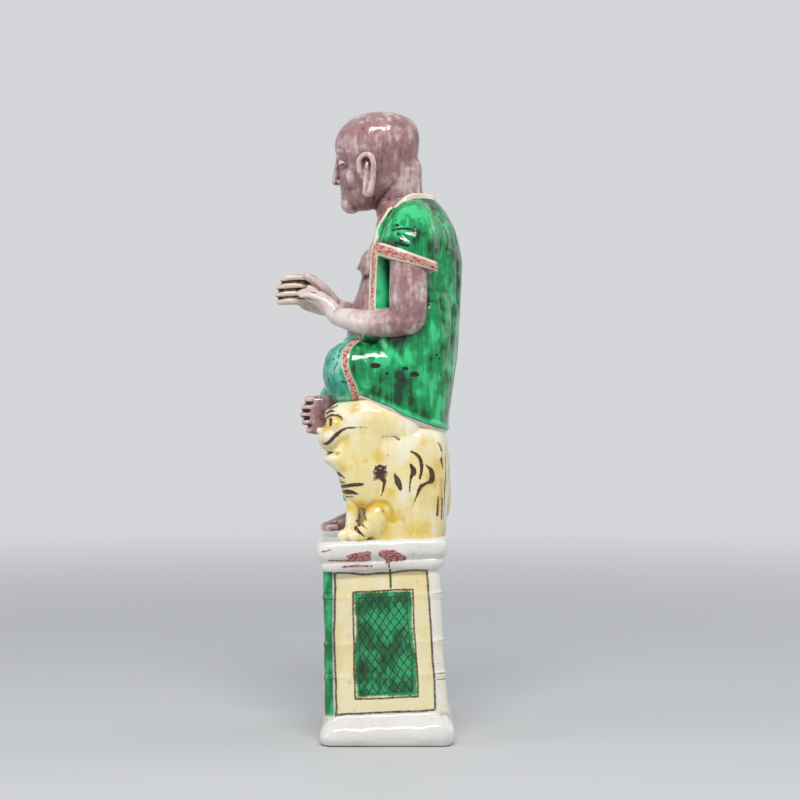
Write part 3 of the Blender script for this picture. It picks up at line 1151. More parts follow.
# %% Head and chest
HEAD_HALF = (14.5, 17.0, 19.4)
HEAD_NOD = math.radians(5)
FACE_FRONT = HEAD_MIDDLE[1] - 0.94 * HEAD_HALF[1]
NOSE_FOOT = HEAD_MIDDLE[2] - 0.42 * HEAD_HALF[2]
LIPS = HEAD_MIDDLE[2] - 0.63 * HEAD_HALF[2]
SKULL = [
    # up, front, back and side, as shares of half the height, depth and width
    (-0.99, -0.60, -0.20, 0.22), (-0.93, -0.80, -0.05, 0.40), (-0.78, -0.90, 0.15, 0.58),
    (-0.55, -0.93, 0.62, 0.74), (-0.28, -0.94, 0.84, 0.87), (-0.02, -0.925, 0.92, 0.94),
    (0.20, -0.965, 0.97, 0.98), (0.42, -0.965, 1.00, 1.00), (0.64, -0.86, 0.95, 0.92),
    (0.82, -0.64, 0.78, 0.74), (0.94, -0.36, 0.52, 0.46), (0.99, -0.12, 0.26, 0.20),
]


def head_forms():
    half, deep, tall = HEAD_HALF
    y, z = HEAD_MIDDLE[1:]
    front, base, lips = FACE_FRONT, NOSE_FOOT, LIPS
    rows = []
    for up, ahead, behind, side in SKULL:
        middle, reach = (ahead + behind) / 2, (behind - ahead) / 2
        rows.append((y + deep * middle, z + tall * up, half * side, deep * reach, 0.0))
    grids = [stack(rows, 2.1)]
    nose = [
        (0, front + 1.2, z + 3.4, 1.2, 1.2), (0, front, z - 1.0, 1.35, 1.4),
        (0, front - 1.0, base + 2.6, 1.7, 1.6), (0, front - 1.3, base + 1.5, 1.8, 1.7),
    ]
    grids += [roll(nose, up=(0, 1, 0)), ball(0, front + 4.0, z - 0.82 * tall, 6.2, 4.4, 4.2)]
    for rise, thick, out in ((0.75, 0.8, 4.3), (-0.85, 1.0, 3.6)):
        lip = [(-out, front + 2.4, lips + 0.25 * rise, 0.45 * thick, 0.45 * thick),
               (-0.45 * out, front + 1.1, lips + 1.05 * rise, 0.95 * thick, 0.85 * thick),
               (0, front + 0.8, lips + 0.92 * rise, thick, 0.9 * thick),
               (0.45 * out, front + 1.1, lips + 1.05 * rise, 0.95 * thick, 0.85 * thick),
               (out, front + 2.4, lips + 0.25 * rise, 0.45 * thick, 0.45 * thick)]
        grids.append(roll(lip))
    for side in (-1, 1):
        grids.append(ball(side * 1.85, front + 0.6, base + 1.3, 1.25, 1.6, 1.15))
        grids.append(ball(side * 5.8, front + 2.5, z - 0.2, 3.3, 2.3, 1.9))
        grids.append(ball(side * 5.6, front + 6.0, z - 0.30 * tall, 5.2, 4.6, 6.2))
        brow = [(side * 1.8, front + 1.0, z + 3.7, 0.85, 0.8), (side * 5.8, front + 1.2, z + 4.9, 0.95, 0.85),
                (side * 9.8, front + 4.6, z + 3.6, 0.7, 0.7)]
        grids.append(roll(brow))
        grids += ear_forms(side, half, y, z)
    return turned(grids, HEAD_MIDDLE, HEAD_NOD)


def ear_forms(side, half, y, z):
    """The helix as a roll that arches over and runs down behind, a shell inside it and a long lobe."""
    x = side * (half + 0.2)
    helix = [
        (x - side * 0.4, y - 7.6, z - 4.6, 1.0, 1.0),
        (x, y - 7.4, z - 0.6, 1.1, 1.0),
        (x + side * 0.5, y - 5.4, z + 1.6, 1.2, 1.1),
        (x + side * 0.8, y - 2.6, z + 0.8, 1.2, 1.2),
        (x + side * 0.6, y - 2.0, z - 3.4, 1.2, 1.2),
        (x, y - 2.8, z - 8.4, 1.3, 1.5),
        (x - side * 0.8, y - 4.0, z - 12.4, 1.5, 2.2),
    ]
    lobe = [
        (x - side * 0.6, y - 4.2, z - 5.5, 1.2, 2.0),
        (x - side * 0.8, y - 4.6, z - 9.5, 1.4, 2.1),
        (x - side * 1.2, y - 5.0, z - 13.2, 1.6, 2.4),
    ]
    inner = [
        (x - side * 0.4, y - 4.8, z - 0.8, 0.7, 0.8),
        (x - side * 0.2, y - 4.0, z - 3.4, 0.7, 0.8),
        (x - side * 0.4, y - 4.6, z - 6.0, 0.7, 0.9),
    ]
    return [
        roll(helix, up=(side, 0, 0)), roll(lobe, up=(0, 1, 0)), roll(inner, up=(side, 0, 0)),
        ball(x - side * 1.0, y - 5.0, z - 3.6, 1.2, 3.0, 5.0),
    ]


CHEST_HALF = 16.4
NIPPLE_OUT = 8.2
NIPPLE_LEVEL = SHOULDER - 25.6


def chest_forms():
    wide = CHEST_HALF
    rows = [
        (-0.4, LAP - 5.0, 0.94 * wide, 11.8, 0.0),
        (-1.5, LAP + 0.5, wide, 13.2, 0.0),
        (-1.2, LAP + 10.5, 1.0 * wide, 12.8, 0.0),
        (1.6, SHOULDER - 35.0, 0.98 * wide, 12.0, 0.0),
        (2.6, SHOULDER - 28.0, 0.99 * wide, 11.6, 0.0),
        (3.6, SHOULDER - 20.0, 0.98 * wide, 10.2, 0.0),
        (5.0, SHOULDER - 14.0, 0.94 * wide, 9.2, 0.0),
        (6.0, SHOULDER - 8.0, 0.84 * wide, 9.0, 0.0),
        (6.8, SHOULDER - 3.5, 0.70 * wide, 8.8, 0.0),
        (7.0, SHOULDER + 0.5, 0.58 * wide, 8.8, 0.0),
    ]
    grids = [stack(rows, 2.2)]
    for side in (-1, 1):
        grids.append(ball(side * 7.4, -4.2, SHOULDER - 24.6, 8.0, 5.5, 6.8, -0.25))
        grids.append(ball(side * NIPPLE_OUT, -10.0, NIPPLE_LEVEL, 1.0, 1.3, 1.0))
        collar = [
            (side * 2.4, -2.2, SHOULDER - 11.0, 1.0, 0.9),
            (side * 8.0, -0.6, SHOULDER - 9.8, 1.1, 1.0),
            (side * 13.0, 3.6, SHOULDER - 9.4, 0.9, 0.9),
        ]
        grids.append(roll(collar))
    neck = [
        (0, 8.4, SHOULDER - 10.0, 10.2, 10.4), (0, 6.2, SHOULDER - 1.0, 9.0, 9.8),
        (0, 5.0, SHOULDER + 4.5, 9.2, 9.9), (0, 4.4, SHOULDER + 12.0, 10.2, 10.6),
    ]
    grids.append(roll(neck, up=(0, 1, 0)))
    return grids


body = fuse("head_and_chest", head_forms() + chest_forms(), 0.40, 4)

# %% [markdown]
# Lids, lips and ears need crisp lines that a wiped form can't have. They are cut here with the same tool,
# on paths that turn with the head.


# %% Tool marks on head and chest
CHEST_CUTS = [
    # path, depth, width: breastbone, under each breast, throat, navel and the fold of the belly
    ([(0, -11.0, SHOULDER - 19.0), (0, -13.0, SHOULDER - 26.0), (0, -11.5, SHOULDER - 33.0)], 0.5, 1.4),
    ([(-13, -5.0, SHOULDER - 29), (-7.4, -10.0, SHOULDER - 31), (-1, -10.0, SHOULDER - 30)], 0.6, 1.1),
    ([(13, -5.0, SHOULDER - 29), (7.4, -10.0, SHOULDER - 31), (1, -10.0, SHOULDER - 30)], 0.6, 1.1),
    ([(-8.0, -3.2, SHOULDER - 2.0), (0, -4.6, SHOULDER - 3.6), (8.0, -3.2, SHOULDER - 2.0)], 0.35, 0.8),
    ([(0, -16.0, LAP + 2.6), (0, -16.0, LAP + 2.5)], 1.2, 1.2),
    ([(-9.0, -13.0, LAP + 7.0), (0, -15.2, LAP + 6.0), (9.0, -13.0, LAP + 7.0)], 0.35, 1.0),
]


def with_head(path):
    return turned([np.array(path, float)], HEAD_MIDDLE, HEAD_NOD)[0]


def tool_body():
    place, normal = read_skin(body)
    half = HEAD_HALF[0]
    y, z = HEAD_MIDDLE[1:]
    front, base, lips = FACE_FRONT, NOSE_FOOT, LIPS
    depth = np.zeros(len(place))
    mouth = [
        (-3.9, front + 1.6, lips - 0.05),
        (-1.5, front, lips),
        (0, front - 0.3, lips - 0.2),
        (1.5, front, lips),
        (3.9, front + 1.6, lips - 0.05),
    ]
    cuts, lids, brows = [(mouth, 0.6, 0.45)], [], []
    for side in (-1, 1):
        lid = [
            (side * 2.9, front + 1.6, z - 1.2),
            (side * 5.6, front + 0.1, z - 1.7),
            (side * 8.8, front + 2.4, z - 0.9),
        ]
        crease = [
            (side * 2.7, front + 1.6, z + 0.6),
            (side * 5.6, front + 0.6, z + 1.9),
            (side * 9.2, front + 2.8, z + 0.5),
        ]
        fold = [
            (side * 2.4, front - 0.4, base + 2.4),
            (side * 4.6, front + 0.6, base - 0.6),
            (side * 5.6, front + 2.0, lips - 0.4),
        ]
        hole = [(side * 1.0, front - 1.4, base + 0.2), (side * 1.7, front - 1.0, base + 0.3)]
        rim = [
            (side * half, y - 6.2, z - 3.6),
            (side * (half + 0.6), y - 5.0, z - 0.6),
            (side * (half + 1.0), y - 3.4, z - 2.0),
            (side * half, y - 3.6, z - 6.0),
            (side * (half - 0.4), y - 4.2, z - 10.0),
        ]
        brow = [
            (side * 1.8, front + 0.2, z + 4.0),
            (side * 5.8, front + 0.4, z + 5.2),
            (side * 9.8, front + 3.9, z + 3.9),
        ]
        cuts += [(lid, 0.5, 0.42), (crease, 0.3, 0.5), (fold, 0.16, 0.8), (hole, 0.5, 0.5), (rim, 0.55, 0.55)]
        lids.append(distance(place, with_head(lid)))
        brows.append(distance(place, with_head(brow)))
    for path, cut, width in cuts:
        depth += cut * bell(distance(place, with_head(path)), width)
    for path, cut, width in CHEST_CUTS:
        depth += cut * bell(distance(place, path), width)
    slow = 0.20 * hand_marks(place, 20, 51) + 0.07 * hand_marks(place, 7, 52)
    slow = slow * ramp(place[:, 1], -20.0, -12.0)
    write_skin(body, place + normal * (slow - depth)[:, None])
    keep(body, "lid_line", np.minimum(np.min(lids, axis=0) - 0.25, np.min(brows, axis=0) + 0.3))
    nipples = [distance(place, [(side * NIPPLE_OUT, -10.8, NIPPLE_LEVEL)] * 2) for side in (-1, 1)]
    keep(body, "palm", bell(np.min(nipples, axis=0), 1.4))


tool_body()
keep_hollow(body)
smooth_shaded(body)

# %% [markdown]
# ## Arms and hands
#
# The bare arms come out of the sleeves, bend at a right angle and bring the hands together before the
# chest, the palms facing. The right hand reaches further, with its fingers spread; the left one is seen
# on its edge and follows the curve of its wrist. Fingers are rolls, laid side by side with a gap.

# %% Arms and hands
LEFT_WRIST = (9.6, -18.6, 164.6)
RIGHT_WRIST = (-4.6, -18.0, 168.4)


def arm_forms(side, wrist):
    elbow = (side * 27.2, 9.6, 164.4)
    upper = [
        (side * 23.4, 10.0, SHOULDER - 18.0, 7.2, 7.4),
        (side * 25.6, 9.4, SHOULDER - 30.0, 7.0, 7.3),
        (side * 27.0, 9.2, SHOULDER - 40.0, 6.8, 7.2),
        (*elbow, 6.2, 6.6),
    ]
    wx, wy, wz = wrist
    fore = [
        (elbow[0], elbow[1] - 0.4, elbow[2] - 0.6, 6.2, 6.2),
        (side * 25.0, 2.6, 162.6, 5.9, 5.9),
        (0.55 * side * 25.0 + 0.45 * wx + side * 1.6, -6.0, 162.2 + 0.4 * (wz - 164), 5.4, 5.2),
        (0.25 * side * 25.0 + 0.75 * wx + side * 0.6, -13.4, 163.2 + 0.75 * (wz - 164), 4.4, 4.3),
        (wx, wy, wz, 3.1, 3.3),
    ]
    return [roll(upper, up=(0, 1, 0)), roll(fore)]


FINGERS = [(5.9, 11.6), (2.75, 13.1), (-0.4, 13.5), (-3.3, 12.9)]  # rise over the palm, and reach
FINGER_GAPS = (4.3, 1.2, -1.85)
THUMB = [(-2.4, -20.4, 171.4), (0.6, -23.8, 175.8), (1.8, -27.4, 178.9), (2.0, -30.6, 180.8)]
LEFT_FINGER_X = 8.9
LEFT_FINGER_STEP = (-2.3, 0.62)


def left_hand_forms():
    """Edge-on: four fingers behind each other, each a little above the last, the middle two the longest."""
    grids = [roll([
        (LEFT_WRIST[0], LEFT_WRIST[1], LEFT_WRIST[2], 3.1, 3.2),
        (8.6, -21.4, 168.4, 3.0, 3.4),
        (6.9, -25.0, 171.6, 2.9, 3.1),
        (5.4, -28.4, 172.8, 2.5, 2.5),
    ], up=(0, 0, 1))]
    for k in range(4):
        x, lift = LEFT_FINGER_X + LEFT_FINGER_STEP[0] * k, LEFT_FINGER_STEP[1] * k
        reach = 0.9 * (1.5 - abs(k - 1.6))
        grids.append(roll([
            (x + 0.5, -21.6, 168.8 + lift, 1.35, 1.3),
            (x + 0.1, -25.4, 171.9 + lift, 1.35, 1.25),
            (x - 0.7, -29.4, 173.2 + lift, 1.25, 1.2),
            (x - 1.6, -32.4 - reach, 172.9 + lift, 1.0, 0.95),
        ]))
    thumb = [
        (5.6, -20.4, 167.4, 1.9, 1.8),
        (3.8, -23.6, 171.2, 1.7, 1.6),
        (3.0, -27.0, 174.6, 1.5, 1.4),
        (2.6, -29.6, 176.2, 1.1, 1.1),
    ]
    grids.append(roll(thumb))
    return grids


def right_hand_forms():
    """Palm to the viewer's side: an open hand whose thumb rises in front of the index finger."""
    wx, wy, wz = RIGHT_WRIST
    grids = [roll([
        (wx, wy, wz, 3.0, 3.2), (wx + 0.8, wy - 4.6, wz + 1.6, 2.8, 5.2),
        (wx + 1.6, wy - 9.0, wz + 4.0, 2.4, 6.3), (wx + 2.2, wy - 12.4, wz + 5.4, 2.0, 6.3),
    ], power=2.2)]
    for rise, reach in FINGERS:
        finger = [
            (wx + 2.0, wy - 11.2, wz + 5.4 + 0.98 * rise, 1.7, 1.65),
            (wx + 2.7, wy - 16.0, wz + 5.9 + rise, 1.65, 1.6),
            (wx + 3.1, wy - 20.4, wz + 5.8 + 0.97 * rise, 1.55, 1.5),
            (wx + 3.0, wy - 10.4 - reach, wz + 5.3 + 0.94 * rise, 1.35, 1.25),
        ]
        grids.append(roll(finger))
    grids.append(roll([(x, y, z, thick, thick) for (x, y, z), thick in zip(THUMB, (2.4, 2.1, 1.85, 1.45))]))
    return grids


both_arms = arm_forms(1, LEFT_WRIST) + arm_forms(-1, RIGHT_WRIST)
arms = fuse("arms_and_hands", both_arms + left_hand_forms() + right_hand_forms(), 0.34, 3)


def tool_arms():
    place, normal = read_skin(arms)
    wx, wy, wz = RIGHT_WRIST
    depth = np.zeros(len(place))
    line = np.full(len(place), FAR)
    for rise in FINGER_GAPS:
        for x in (wx + 1.9, wx + 3.5):
            gap = [(x, wy - 11.6, wz + 5.6), (x, wy - 17.0, wz + 6.0), (x, wy - 25.4, wz + 5.5)]
            away = distance(place - (0, 0, rise), gap)
            depth += 0.6 * bell(away, 0.6)
            line = np.minimum(line, away - 0.7)
    for k in range(3):
        step, lift = LEFT_FINGER_STEP[0] * k - 1.15, LEFT_FINGER_STEP[1] * k + 0.3
        for z in (1.4, -1.4):
            gap = [(0.4, -19.8, 167.2), (0, -25.4, 171.9), (-0.8, -31.6, 173.1)]
            away = distance(place - (LEFT_FINGER_X + step, 0, lift + z), gap)
            depth += 0.65 * bell(away, 0.5)
            line = np.minimum(line, away - 0.3)
    palm = [
        (wx + 3.2, wy - 4.6, wz + 1.4),
        (wx + 3.6, wy - 7.4, wz + 3.6),
        (wx + 4.0, wy - 10.4, wz + 3.4),
    ]
    depth += 0.45 * bell(distance(place, palm), 0.8)
    for side in (-1, 1):
        crook = [(side * 24.0, 3.4, 168.4), (side * 27.4, 3.6, 169.2), (side * 31.0, 4.4, 168.2)]
        depth += 0.5 * bell(distance(place, crook), 0.9)
    slow = 0.16 * hand_marks(place, 18, 61) + 0.06 * hand_marks(place, 6, 62)
    write_skin(arms, place + normal * (slow * ramp(place[:, 1], -32, -16) - depth)[:, None])
    keep(arms, "lid_line", line)
    keep(arms, "palm", ramp(-place[:, 1], -6, 12) * (1 - bell(distance(place, THUMB), 3.0)))


tool_arms()
keep_hollow(arms, 18)
smooth_shaded(arms)

# %% [markdown]
# ## Feet
#
# The right foot is drawn up so that its sole shows beside the left knee, the toes one above the other.
# The left foot stands on the slab in front of the tiger.

# %% Feet
TOE_LEVELS = [
    # the raised foot's toes: height, tip and thickness
    (132.3, -31.2, 1.55),
    (129.4, -32.6, 1.45),
    (126.6, -33.0, 1.4),
    (123.7, -32.4, 1.4),
    (120.6, -30.6, 1.5),
]
STANDING_TOES = [
    # the standing foot's toes: how far out, how far ahead and thickness
    (-4.4, 3.4, 1.9),
    (-1.0, 3.6, 1.5),
    (1.8, 3.2, 1.4),
    (4.4, 2.6, 1.35),
    (6.9, 1.6, 1.3),
]
SOLE_LEVEL = 126.4
FOOT_X = 2.4


def foot_forms():
    sole = [
        (3.4, -13.0, 129.0, 3.4, 5.2), (5.6, -18.0, 127.8, 3.8, 6.6), (7.4, -23.0, 126.6, 3.6, 7.6),
        (8.3, -26.8, 126.2, 3.0, 7.6), (8.5, -28.6, 126.2, 2.2, 7.0),
    ]
    grids = [roll(sole, power=2.5, cap=1.2)]
    for z, tip, thick in TOE_LEVELS:
        toe = [
            (8.2, -25.5, SOLE_LEVEL + 0.93 * (z - SOLE_LEVEL), 1.7, thick),
            (8.8, -28.8, z, 1.8, thick),
            (8.9, tip + 1.4, z - 0.2, 1.7, 0.95 * thick),
        ]
        grids.append(roll(toe))
    low = SLAB_TOP
    ankle = [
        (3.1, -9.0, low + 13.0, 4.2, 4.4),
        (3.0, -9.0, low + 7.6, 3.8, 4.6),
        (3.0, -8.8, low + 4.2, 4.2, 4.8),
    ]
    grids.append(roll(ankle, up=(0, 1, 0)))
    standing = [
        (3.0, -7.4, low + 4.6, 4.0, 4.2), (2.8, -12.6, low + 5.2, 4.8, 4.2),
        (2.4, -17.6, low + 4.4, 6.0, 3.0), (2.2, -20.6, low + 3.6, 6.4, 2.3),
    ]
    grids.append(roll(standing, power=2.3))
    for out, ahead, thick in STANDING_TOES:
        x = FOOT_X + 0.98 * out
        toe = [
            (x, -19.0, low + 3.4, thick, thick),
            (x * 1.02, -21.6, low + 3.2, thick, thick),
            (x * 1.03, -20.2 - ahead, low + 2.8, 0.95 * thick, 0.9 * thick),
        ]
        grids.append(roll(toe))
    return grids


feet = fuse("feet", foot_forms(), 0.30, 3)


def tool_feet():
    place, normal = read_skin(feet)
    depth = np.zeros(len(place))
    line = np.full(len(place), FAR)
    levels = [level for level, _, _ in TOE_LEVELS]
    for high, low in zip(levels, levels[1:]):
        z = 0.5 * (high + low)
        for x, deep in ((10.0, 0.8), (7.6, 0.6)):
            gap = distance(place, [(x, -27.0, z + 0.1), (x, -33.5, z)])
            depth += deep * bell(gap, 0.6)
            line = np.minimum(line, gap - 0.42)
    crease = [
        (11.4, -28.2, 133.4),
        (11.9, -28.6, 129.6),
        (12.0, -28.7, 125.8),
        (11.6, -28.2, 122.0),
        (11.2, -27.4, 119.4),
    ]
    depth += 0.75 * bell(distance(place, crease), 0.5)
    line = np.minimum(line, distance(place, crease) - 0.3)
    arch = [(11.6, -25.2, 131.0), (11.6, -22.0, 127.0), (10.6, -18.0, 126.4)]
    depth += 0.25 * bell(distance(place, arch), 1.1)
    for out in (-2.5, 0.5, 3.2, 5.7):
        gap = [(FOOT_X + out, -18.6, SLAB_TOP + 5.2), (FOOT_X + out, -23.6, SLAB_TOP + 3.8)]
        depth += 0.6 * bell(distance(place, gap), 0.45)
    write_skin(feet, place + normal * (0.1 * hand_marks(place, 8, 71) - depth)[:, None])
    keep(feet, "lid_line", line)


tool_feet()
keep_hollow(feet, 14)
smooth_shaded(feet)
smooth_shaded(pedestal)

# %% [markdown]
# ## Glazes
#
# A lead glaze is coloured glass. Where it is thin, on ridges, it is pale, and where it pools, in hollows,
# it is deep. It also runs down a little as it melts, in soft streaks. These effects are node groups, built
# once. Each gives out a colour, a mask or a height, and every material sets its own numbers.


# %% Helpers for nodes
class Board:
    """Adds nodes to a tree and links them. A socket argument may be a number, a colour or an output."""

    def __init__(self, tree):
        self.tree = tree

    def node(self, kind, inputs=None, **settings):
        made = self.tree.nodes.new(kind)
        for key, value in settings.items():
            setattr(made, key, value)
        for key, value in (inputs or {}).items():
            self.join(value, made.inputs[key])
        return made

    def join(self, value, socket):
        if isinstance(value, bpy.types.NodeSocket):
            self.tree.links.new(value, socket)
        else:
            socket.default_value = value

    def math(self, operation, a, b=0.0, clamp=False):
        made = self.node("ShaderNodeMath", {0: a, 1: b}, operation=operation, use_clamp=clamp)
        return made.outputs[0]

    def value(self, name):
        return self.node("ShaderNodeAttribute", attribute_name=name).outputs["Fac"]

    def noise(self, vector, scale, detail=3.0, roughness=0.5):
        sockets = {"Vector": vector, "Scale": scale, "Detail": detail, "Roughness": roughness}
        return self.node("ShaderNodeTexNoise", sockets).outputs["Fac"]

    def spread(self, value, low, high, to_low=0.0, to_high=1.0):
        sockets = {"Value": value, "From Min": low, "From Max": high, "To Min": to_low, "To Max": to_high}
        return self.node("ShaderNodeMapRange", sockets, interpolation_type="SMOOTHSTEP").outputs[0]

    def mix(self, share, first, second):
        made = self.node("ShaderNodeMix", data_type="RGBA")
        self.join(share, made.inputs[0])
        self.join(first, made.inputs[6])
        self.join(second, made.inputs[7])
        return made.outputs[2]

    def stretch(self, vector, scale):
        return self.node("ShaderNodeMapping", {"Vector": vector, "Scale": scale}).outputs[0]


def group(name, inputs, outputs):
    """A shader node group with named sockets. Inputs are (name, kind, default), outputs (name, kind)."""
    tree = bpy.data.node_groups.new(name, "ShaderNodeTree")
    for label, kind, default in inputs:
        socket = tree.interface.new_socket(label, in_out="INPUT", socket_type="NodeSocket" + kind)
        if default is not None:
            socket.default_value = default
    for label, kind in outputs:
        tree.interface.new_socket(label, in_out="OUTPUT", socket_type="NodeSocket" + kind)
    board = Board(tree)
    board.given = tree.nodes.new("NodeGroupInput").outputs
    board.result = tree.nodes.new("NodeGroupOutput").inputs
    return board


def colour(red, green, blue):
    return (red, green, blue, 1.0)


# %% [markdown]
# **Pooling glaze.** A number called thickness starts from the hollow under each point, then adds soft
# clouds, streaks that are stretched along Z, and fine mottling. It picks between a thin, a full and a
# pooled colour.


# %% Node group: pooling glaze
def make_pooling():
    b = group(
        "pooling_glaze",
        [
            ("Thin", "Color", None),
            ("Full", "Color", None),
            ("Pooled", "Color", None),
            ("Hollow", "Float", 0.0),
            ("Hollow weight", "Float", 1.0),
            ("Streaks", "Float", 0.5),
            ("Clouds", "Float", 0.5),
            ("Start", "Float", 0.5),
            ("Mottle", "Float", 0.45),
        ],
        [("Color", "Color"), ("Thickness", "Float")],
    )
    place = b.node("ShaderNodeTexCoord").outputs["Object"]
    streak = b.noise(b.stretch(place, (420.0, 420.0, 75.0)), 1.0, 3.0, 0.55)
    cloud = b.noise(place, 95.0, 2.0, 0.5)
    mottle = b.noise(place, 480.0, 3.0, 0.6)
    depth = b.math("MULTIPLY", b.given["Hollow"], b.given["Hollow weight"])
    depth = b.math("ADD", depth, b.given["Start"])
    for noise, weight in ((streak, "Streaks"), (cloud, "Clouds"), (mottle, "Mottle")):
        centred = b.math("SUBTRACT", noise, 0.5)
        depth = b.math("ADD", depth, b.math("MULTIPLY", centred, b.given[weight]))
    low = b.mix(b.spread(depth, 0.0, 0.5), b.given["Thin"], b.given["Full"])
    b.join(b.mix(b.spread(depth, 0.5, 1.0), low, b.given["Pooled"]), b.result["Color"])
    b.join(depth, b.result["Thickness"])
    return b.tree


POOLING = make_pooling()

# %% [markdown]
# **Brush edge.** A stroke is a signed distance in millimetres. A ragged noise is added to it before it is
# cut at zero, so the edge frays as a brush's does. With dryness, gaps open in the stroke too.


# %% Node group: brush edge
def make_brush():
    b = group(
        "brush_edge",
        [
            ("Distance", "Float", 1.0),
            ("Softness", "Float", 0.12),
            ("Ragged", "Float", 0.4),
            ("Dryness", "Float", 0.0),
        ],
        [("Mask", "Float")],
    )
    place = b.node("ShaderNodeTexCoord").outputs["Object"]
    fray = b.math("SUBTRACT", b.noise(place, 900.0, 3.0, 0.65), 0.5)
    edge = b.math("ADD", b.given["Distance"], b.math("MULTIPLY", fray, b.given["Ragged"]))
    inside = b.math("DIVIDE", b.math("MULTIPLY", edge, -1.0), b.given["Softness"])
    mask = b.math("ADD", inside, 0.5, clamp=True)
    bristle = b.noise(b.stretch(place, (700.0, 700.0, 1500.0)), 1.0, 2.0, 0.6)
    gap = b.math("MULTIPLY", b.spread(bristle, 0.42, 0.56), b.given["Dryness"])
    b.join(b.math("MULTIPLY", mask, b.math("SUBTRACT", 1.0, gap)), b.result["Mask"])
    return b.tree


BRUSH = make_brush()

# %% [markdown]
# **Glaze skin.** Glaze is never flat: it has a soft orange peel, a finer grain and pinholes. The group gives
# a height for the bump, a roughness that rises in the pinholes, and a mask of the pinholes.


# %% Node group: glaze skin
def make_glaze_skin():
    b = group(
        "glaze_skin",
        [("Roughness", "Float", 0.12), ("Peel", "Float", 1.0), ("Pinholes", "Float", 0.5)],
        [("Height", "Float"), ("Roughness", "Float"), ("Pinhole", "Float")],
    )
    place = b.node("ShaderNodeTexCoord").outputs["Object"]
    peel = b.noise(place, 330.0, 2.0, 0.5)
    grain = b.noise(place, 1500.0, 2.0, 0.5)
    cell = b.node("ShaderNodeTexVoronoi", {"Vector": place, "Scale": 420.0}, feature="F1").outputs["Distance"]
    chance = b.spread(b.noise(place, 160.0, 2.0, 0.5), 0.56, 0.62)
    hole = b.math("MULTIPLY", b.spread(cell, 0.14, 0.06), chance)
    hole = b.math("MULTIPLY", hole, b.given["Pinholes"])
    height = b.math("ADD", b.math("MULTIPLY", peel, b.given["Peel"]), b.math("MULTIPLY", grain, 0.08))
    b.join(b.math("SUBTRACT", height, b.math("MULTIPLY", hole, 0.8)), b.result["Height"])
    rough = b.math("ADD", b.given["Roughness"], b.math("MULTIPLY", b.math("SUBTRACT", peel, 0.5), 0.10))
    b.join(b.math("ADD", rough, b.math("MULTIPLY", hole, 0.3)), b.result["Roughness"])
    b.join(hole, b.result["Pinhole"])
    return b.tree


GLAZE_SKIN = make_glaze_skin()

# %% [markdown]
# ## Materials
#
# Every material has its own Principled shader with a clear coat, since the glaze is glass over colour.


# %% Material helpers
def start_material(name):
    made = bpy.data.materials.new(name)
    made.use_nodes = True
    board = Board(made.node_tree)
    board.shader = made.node_tree.nodes["Principled BSDF"]
    board.shader.inputs["IOR"].default_value = 1.5
    board.shader.inputs["Specular IOR Level"].default_value = 0.45
    board.shader.inputs["Coat Weight"].default_value = 0.2
    board.shader.inputs["Coat Roughness"].default_value = 0.04
    return made, board


def pooled(b, glaze, weight, streaks, clouds, start, mottle=0.45):
    """The pooling glaze with its thin, full and pooled colour, weights and the thickness it starts from."""
    made = b.node("ShaderNodeGroup", node_tree=POOLING)
    for key, value in zip(("Thin", "Full", "Pooled"), glaze):
        b.join(value, made.inputs[key])
    weights = {"Hollow weight": weight, "Streaks": streaks, "Clouds": clouds}
    weights |= {"Start": start, "Mottle": mottle}
    for key, value in weights.items():
        b.join(value, made.inputs[key])
    b.join(b.value("hollow"), made.inputs["Hollow"])
    return made.outputs["Color"]


def brushed(b, gap, softness=0.12, ragged=0.4, dryness=0.0):
    made = b.node("ShaderNodeGroup", node_tree=BRUSH)
    for key, value in {"Distance": gap, "Softness": softness, "Ragged": ragged, "Dryness": dryness}.items():
        b.join(value, made.inputs[key])
    return made.outputs["Mask"]


def glazed(b, base, roughness=0.12, peel=1.0, pinholes=0.5, bump=0.25):
    """Colour with darker pinholes, roughness and bump from the glaze skin, into the shader."""
    skin = b.node("ShaderNodeGroup", node_tree=GLAZE_SKIN)
    for key, value in {"Roughness": roughness, "Peel": peel, "Pinholes": pinholes}.items():
        b.join(value, skin.inputs[key])
    specked = b.mix(b.math("MULTIPLY", skin.outputs["Pinhole"], 0.7), base, PINHOLE_BROWN)
    b.join(specked, b.shader.inputs["Base Color"])
    b.join(skin.outputs["Roughness"], b.shader.inputs["Roughness"])
    relief = {"Height": skin.outputs["Height"], "Strength": bump, "Distance": 0.6 * MM}
    b.join(b.node("ShaderNodeBump", relief).outputs[0], b.shader.inputs["Normal"])


# %% Palette
# each glaze is its thin, full and pooled colour
LEAF_GREEN = (colour(0.04, 0.60, 0.22), colour(0.0, 0.27, 0.072), colour(0.0, 0.045, 0.014))
SEA_GREEN = (colour(0.20, 0.58, 0.43), colour(0.02, 0.32, 0.21), colour(0.005, 0.11, 0.085))
TIGER_YELLOW = (colour(0.92, 0.86, 0.66), colour(0.89, 0.74, 0.34), colour(0.72, 0.43, 0.03))
PLUM = (colour(0.63, 0.48, 0.46), colour(0.33, 0.17, 0.175), colour(0.06, 0.012, 0.020))
PALE_PLUM = (colour(0.86, 0.76, 0.72), colour(0.62, 0.46, 0.43), colour(0.10, 0.03, 0.025))
OCHRE = (colour(0.74, 0.61, 0.48), colour(0.50, 0.34, 0.22), colour(0.09, 0.03, 0.015))
CLEAR = (colour(0.82, 0.80, 0.76), colour(0.76, 0.73, 0.67), colour(0.50, 0.44, 0.34))
PANEL_YELLOW = (colour(0.90, 0.82, 0.54), colour(0.87, 0.72, 0.36), colour(0.76, 0.42, 0.06))
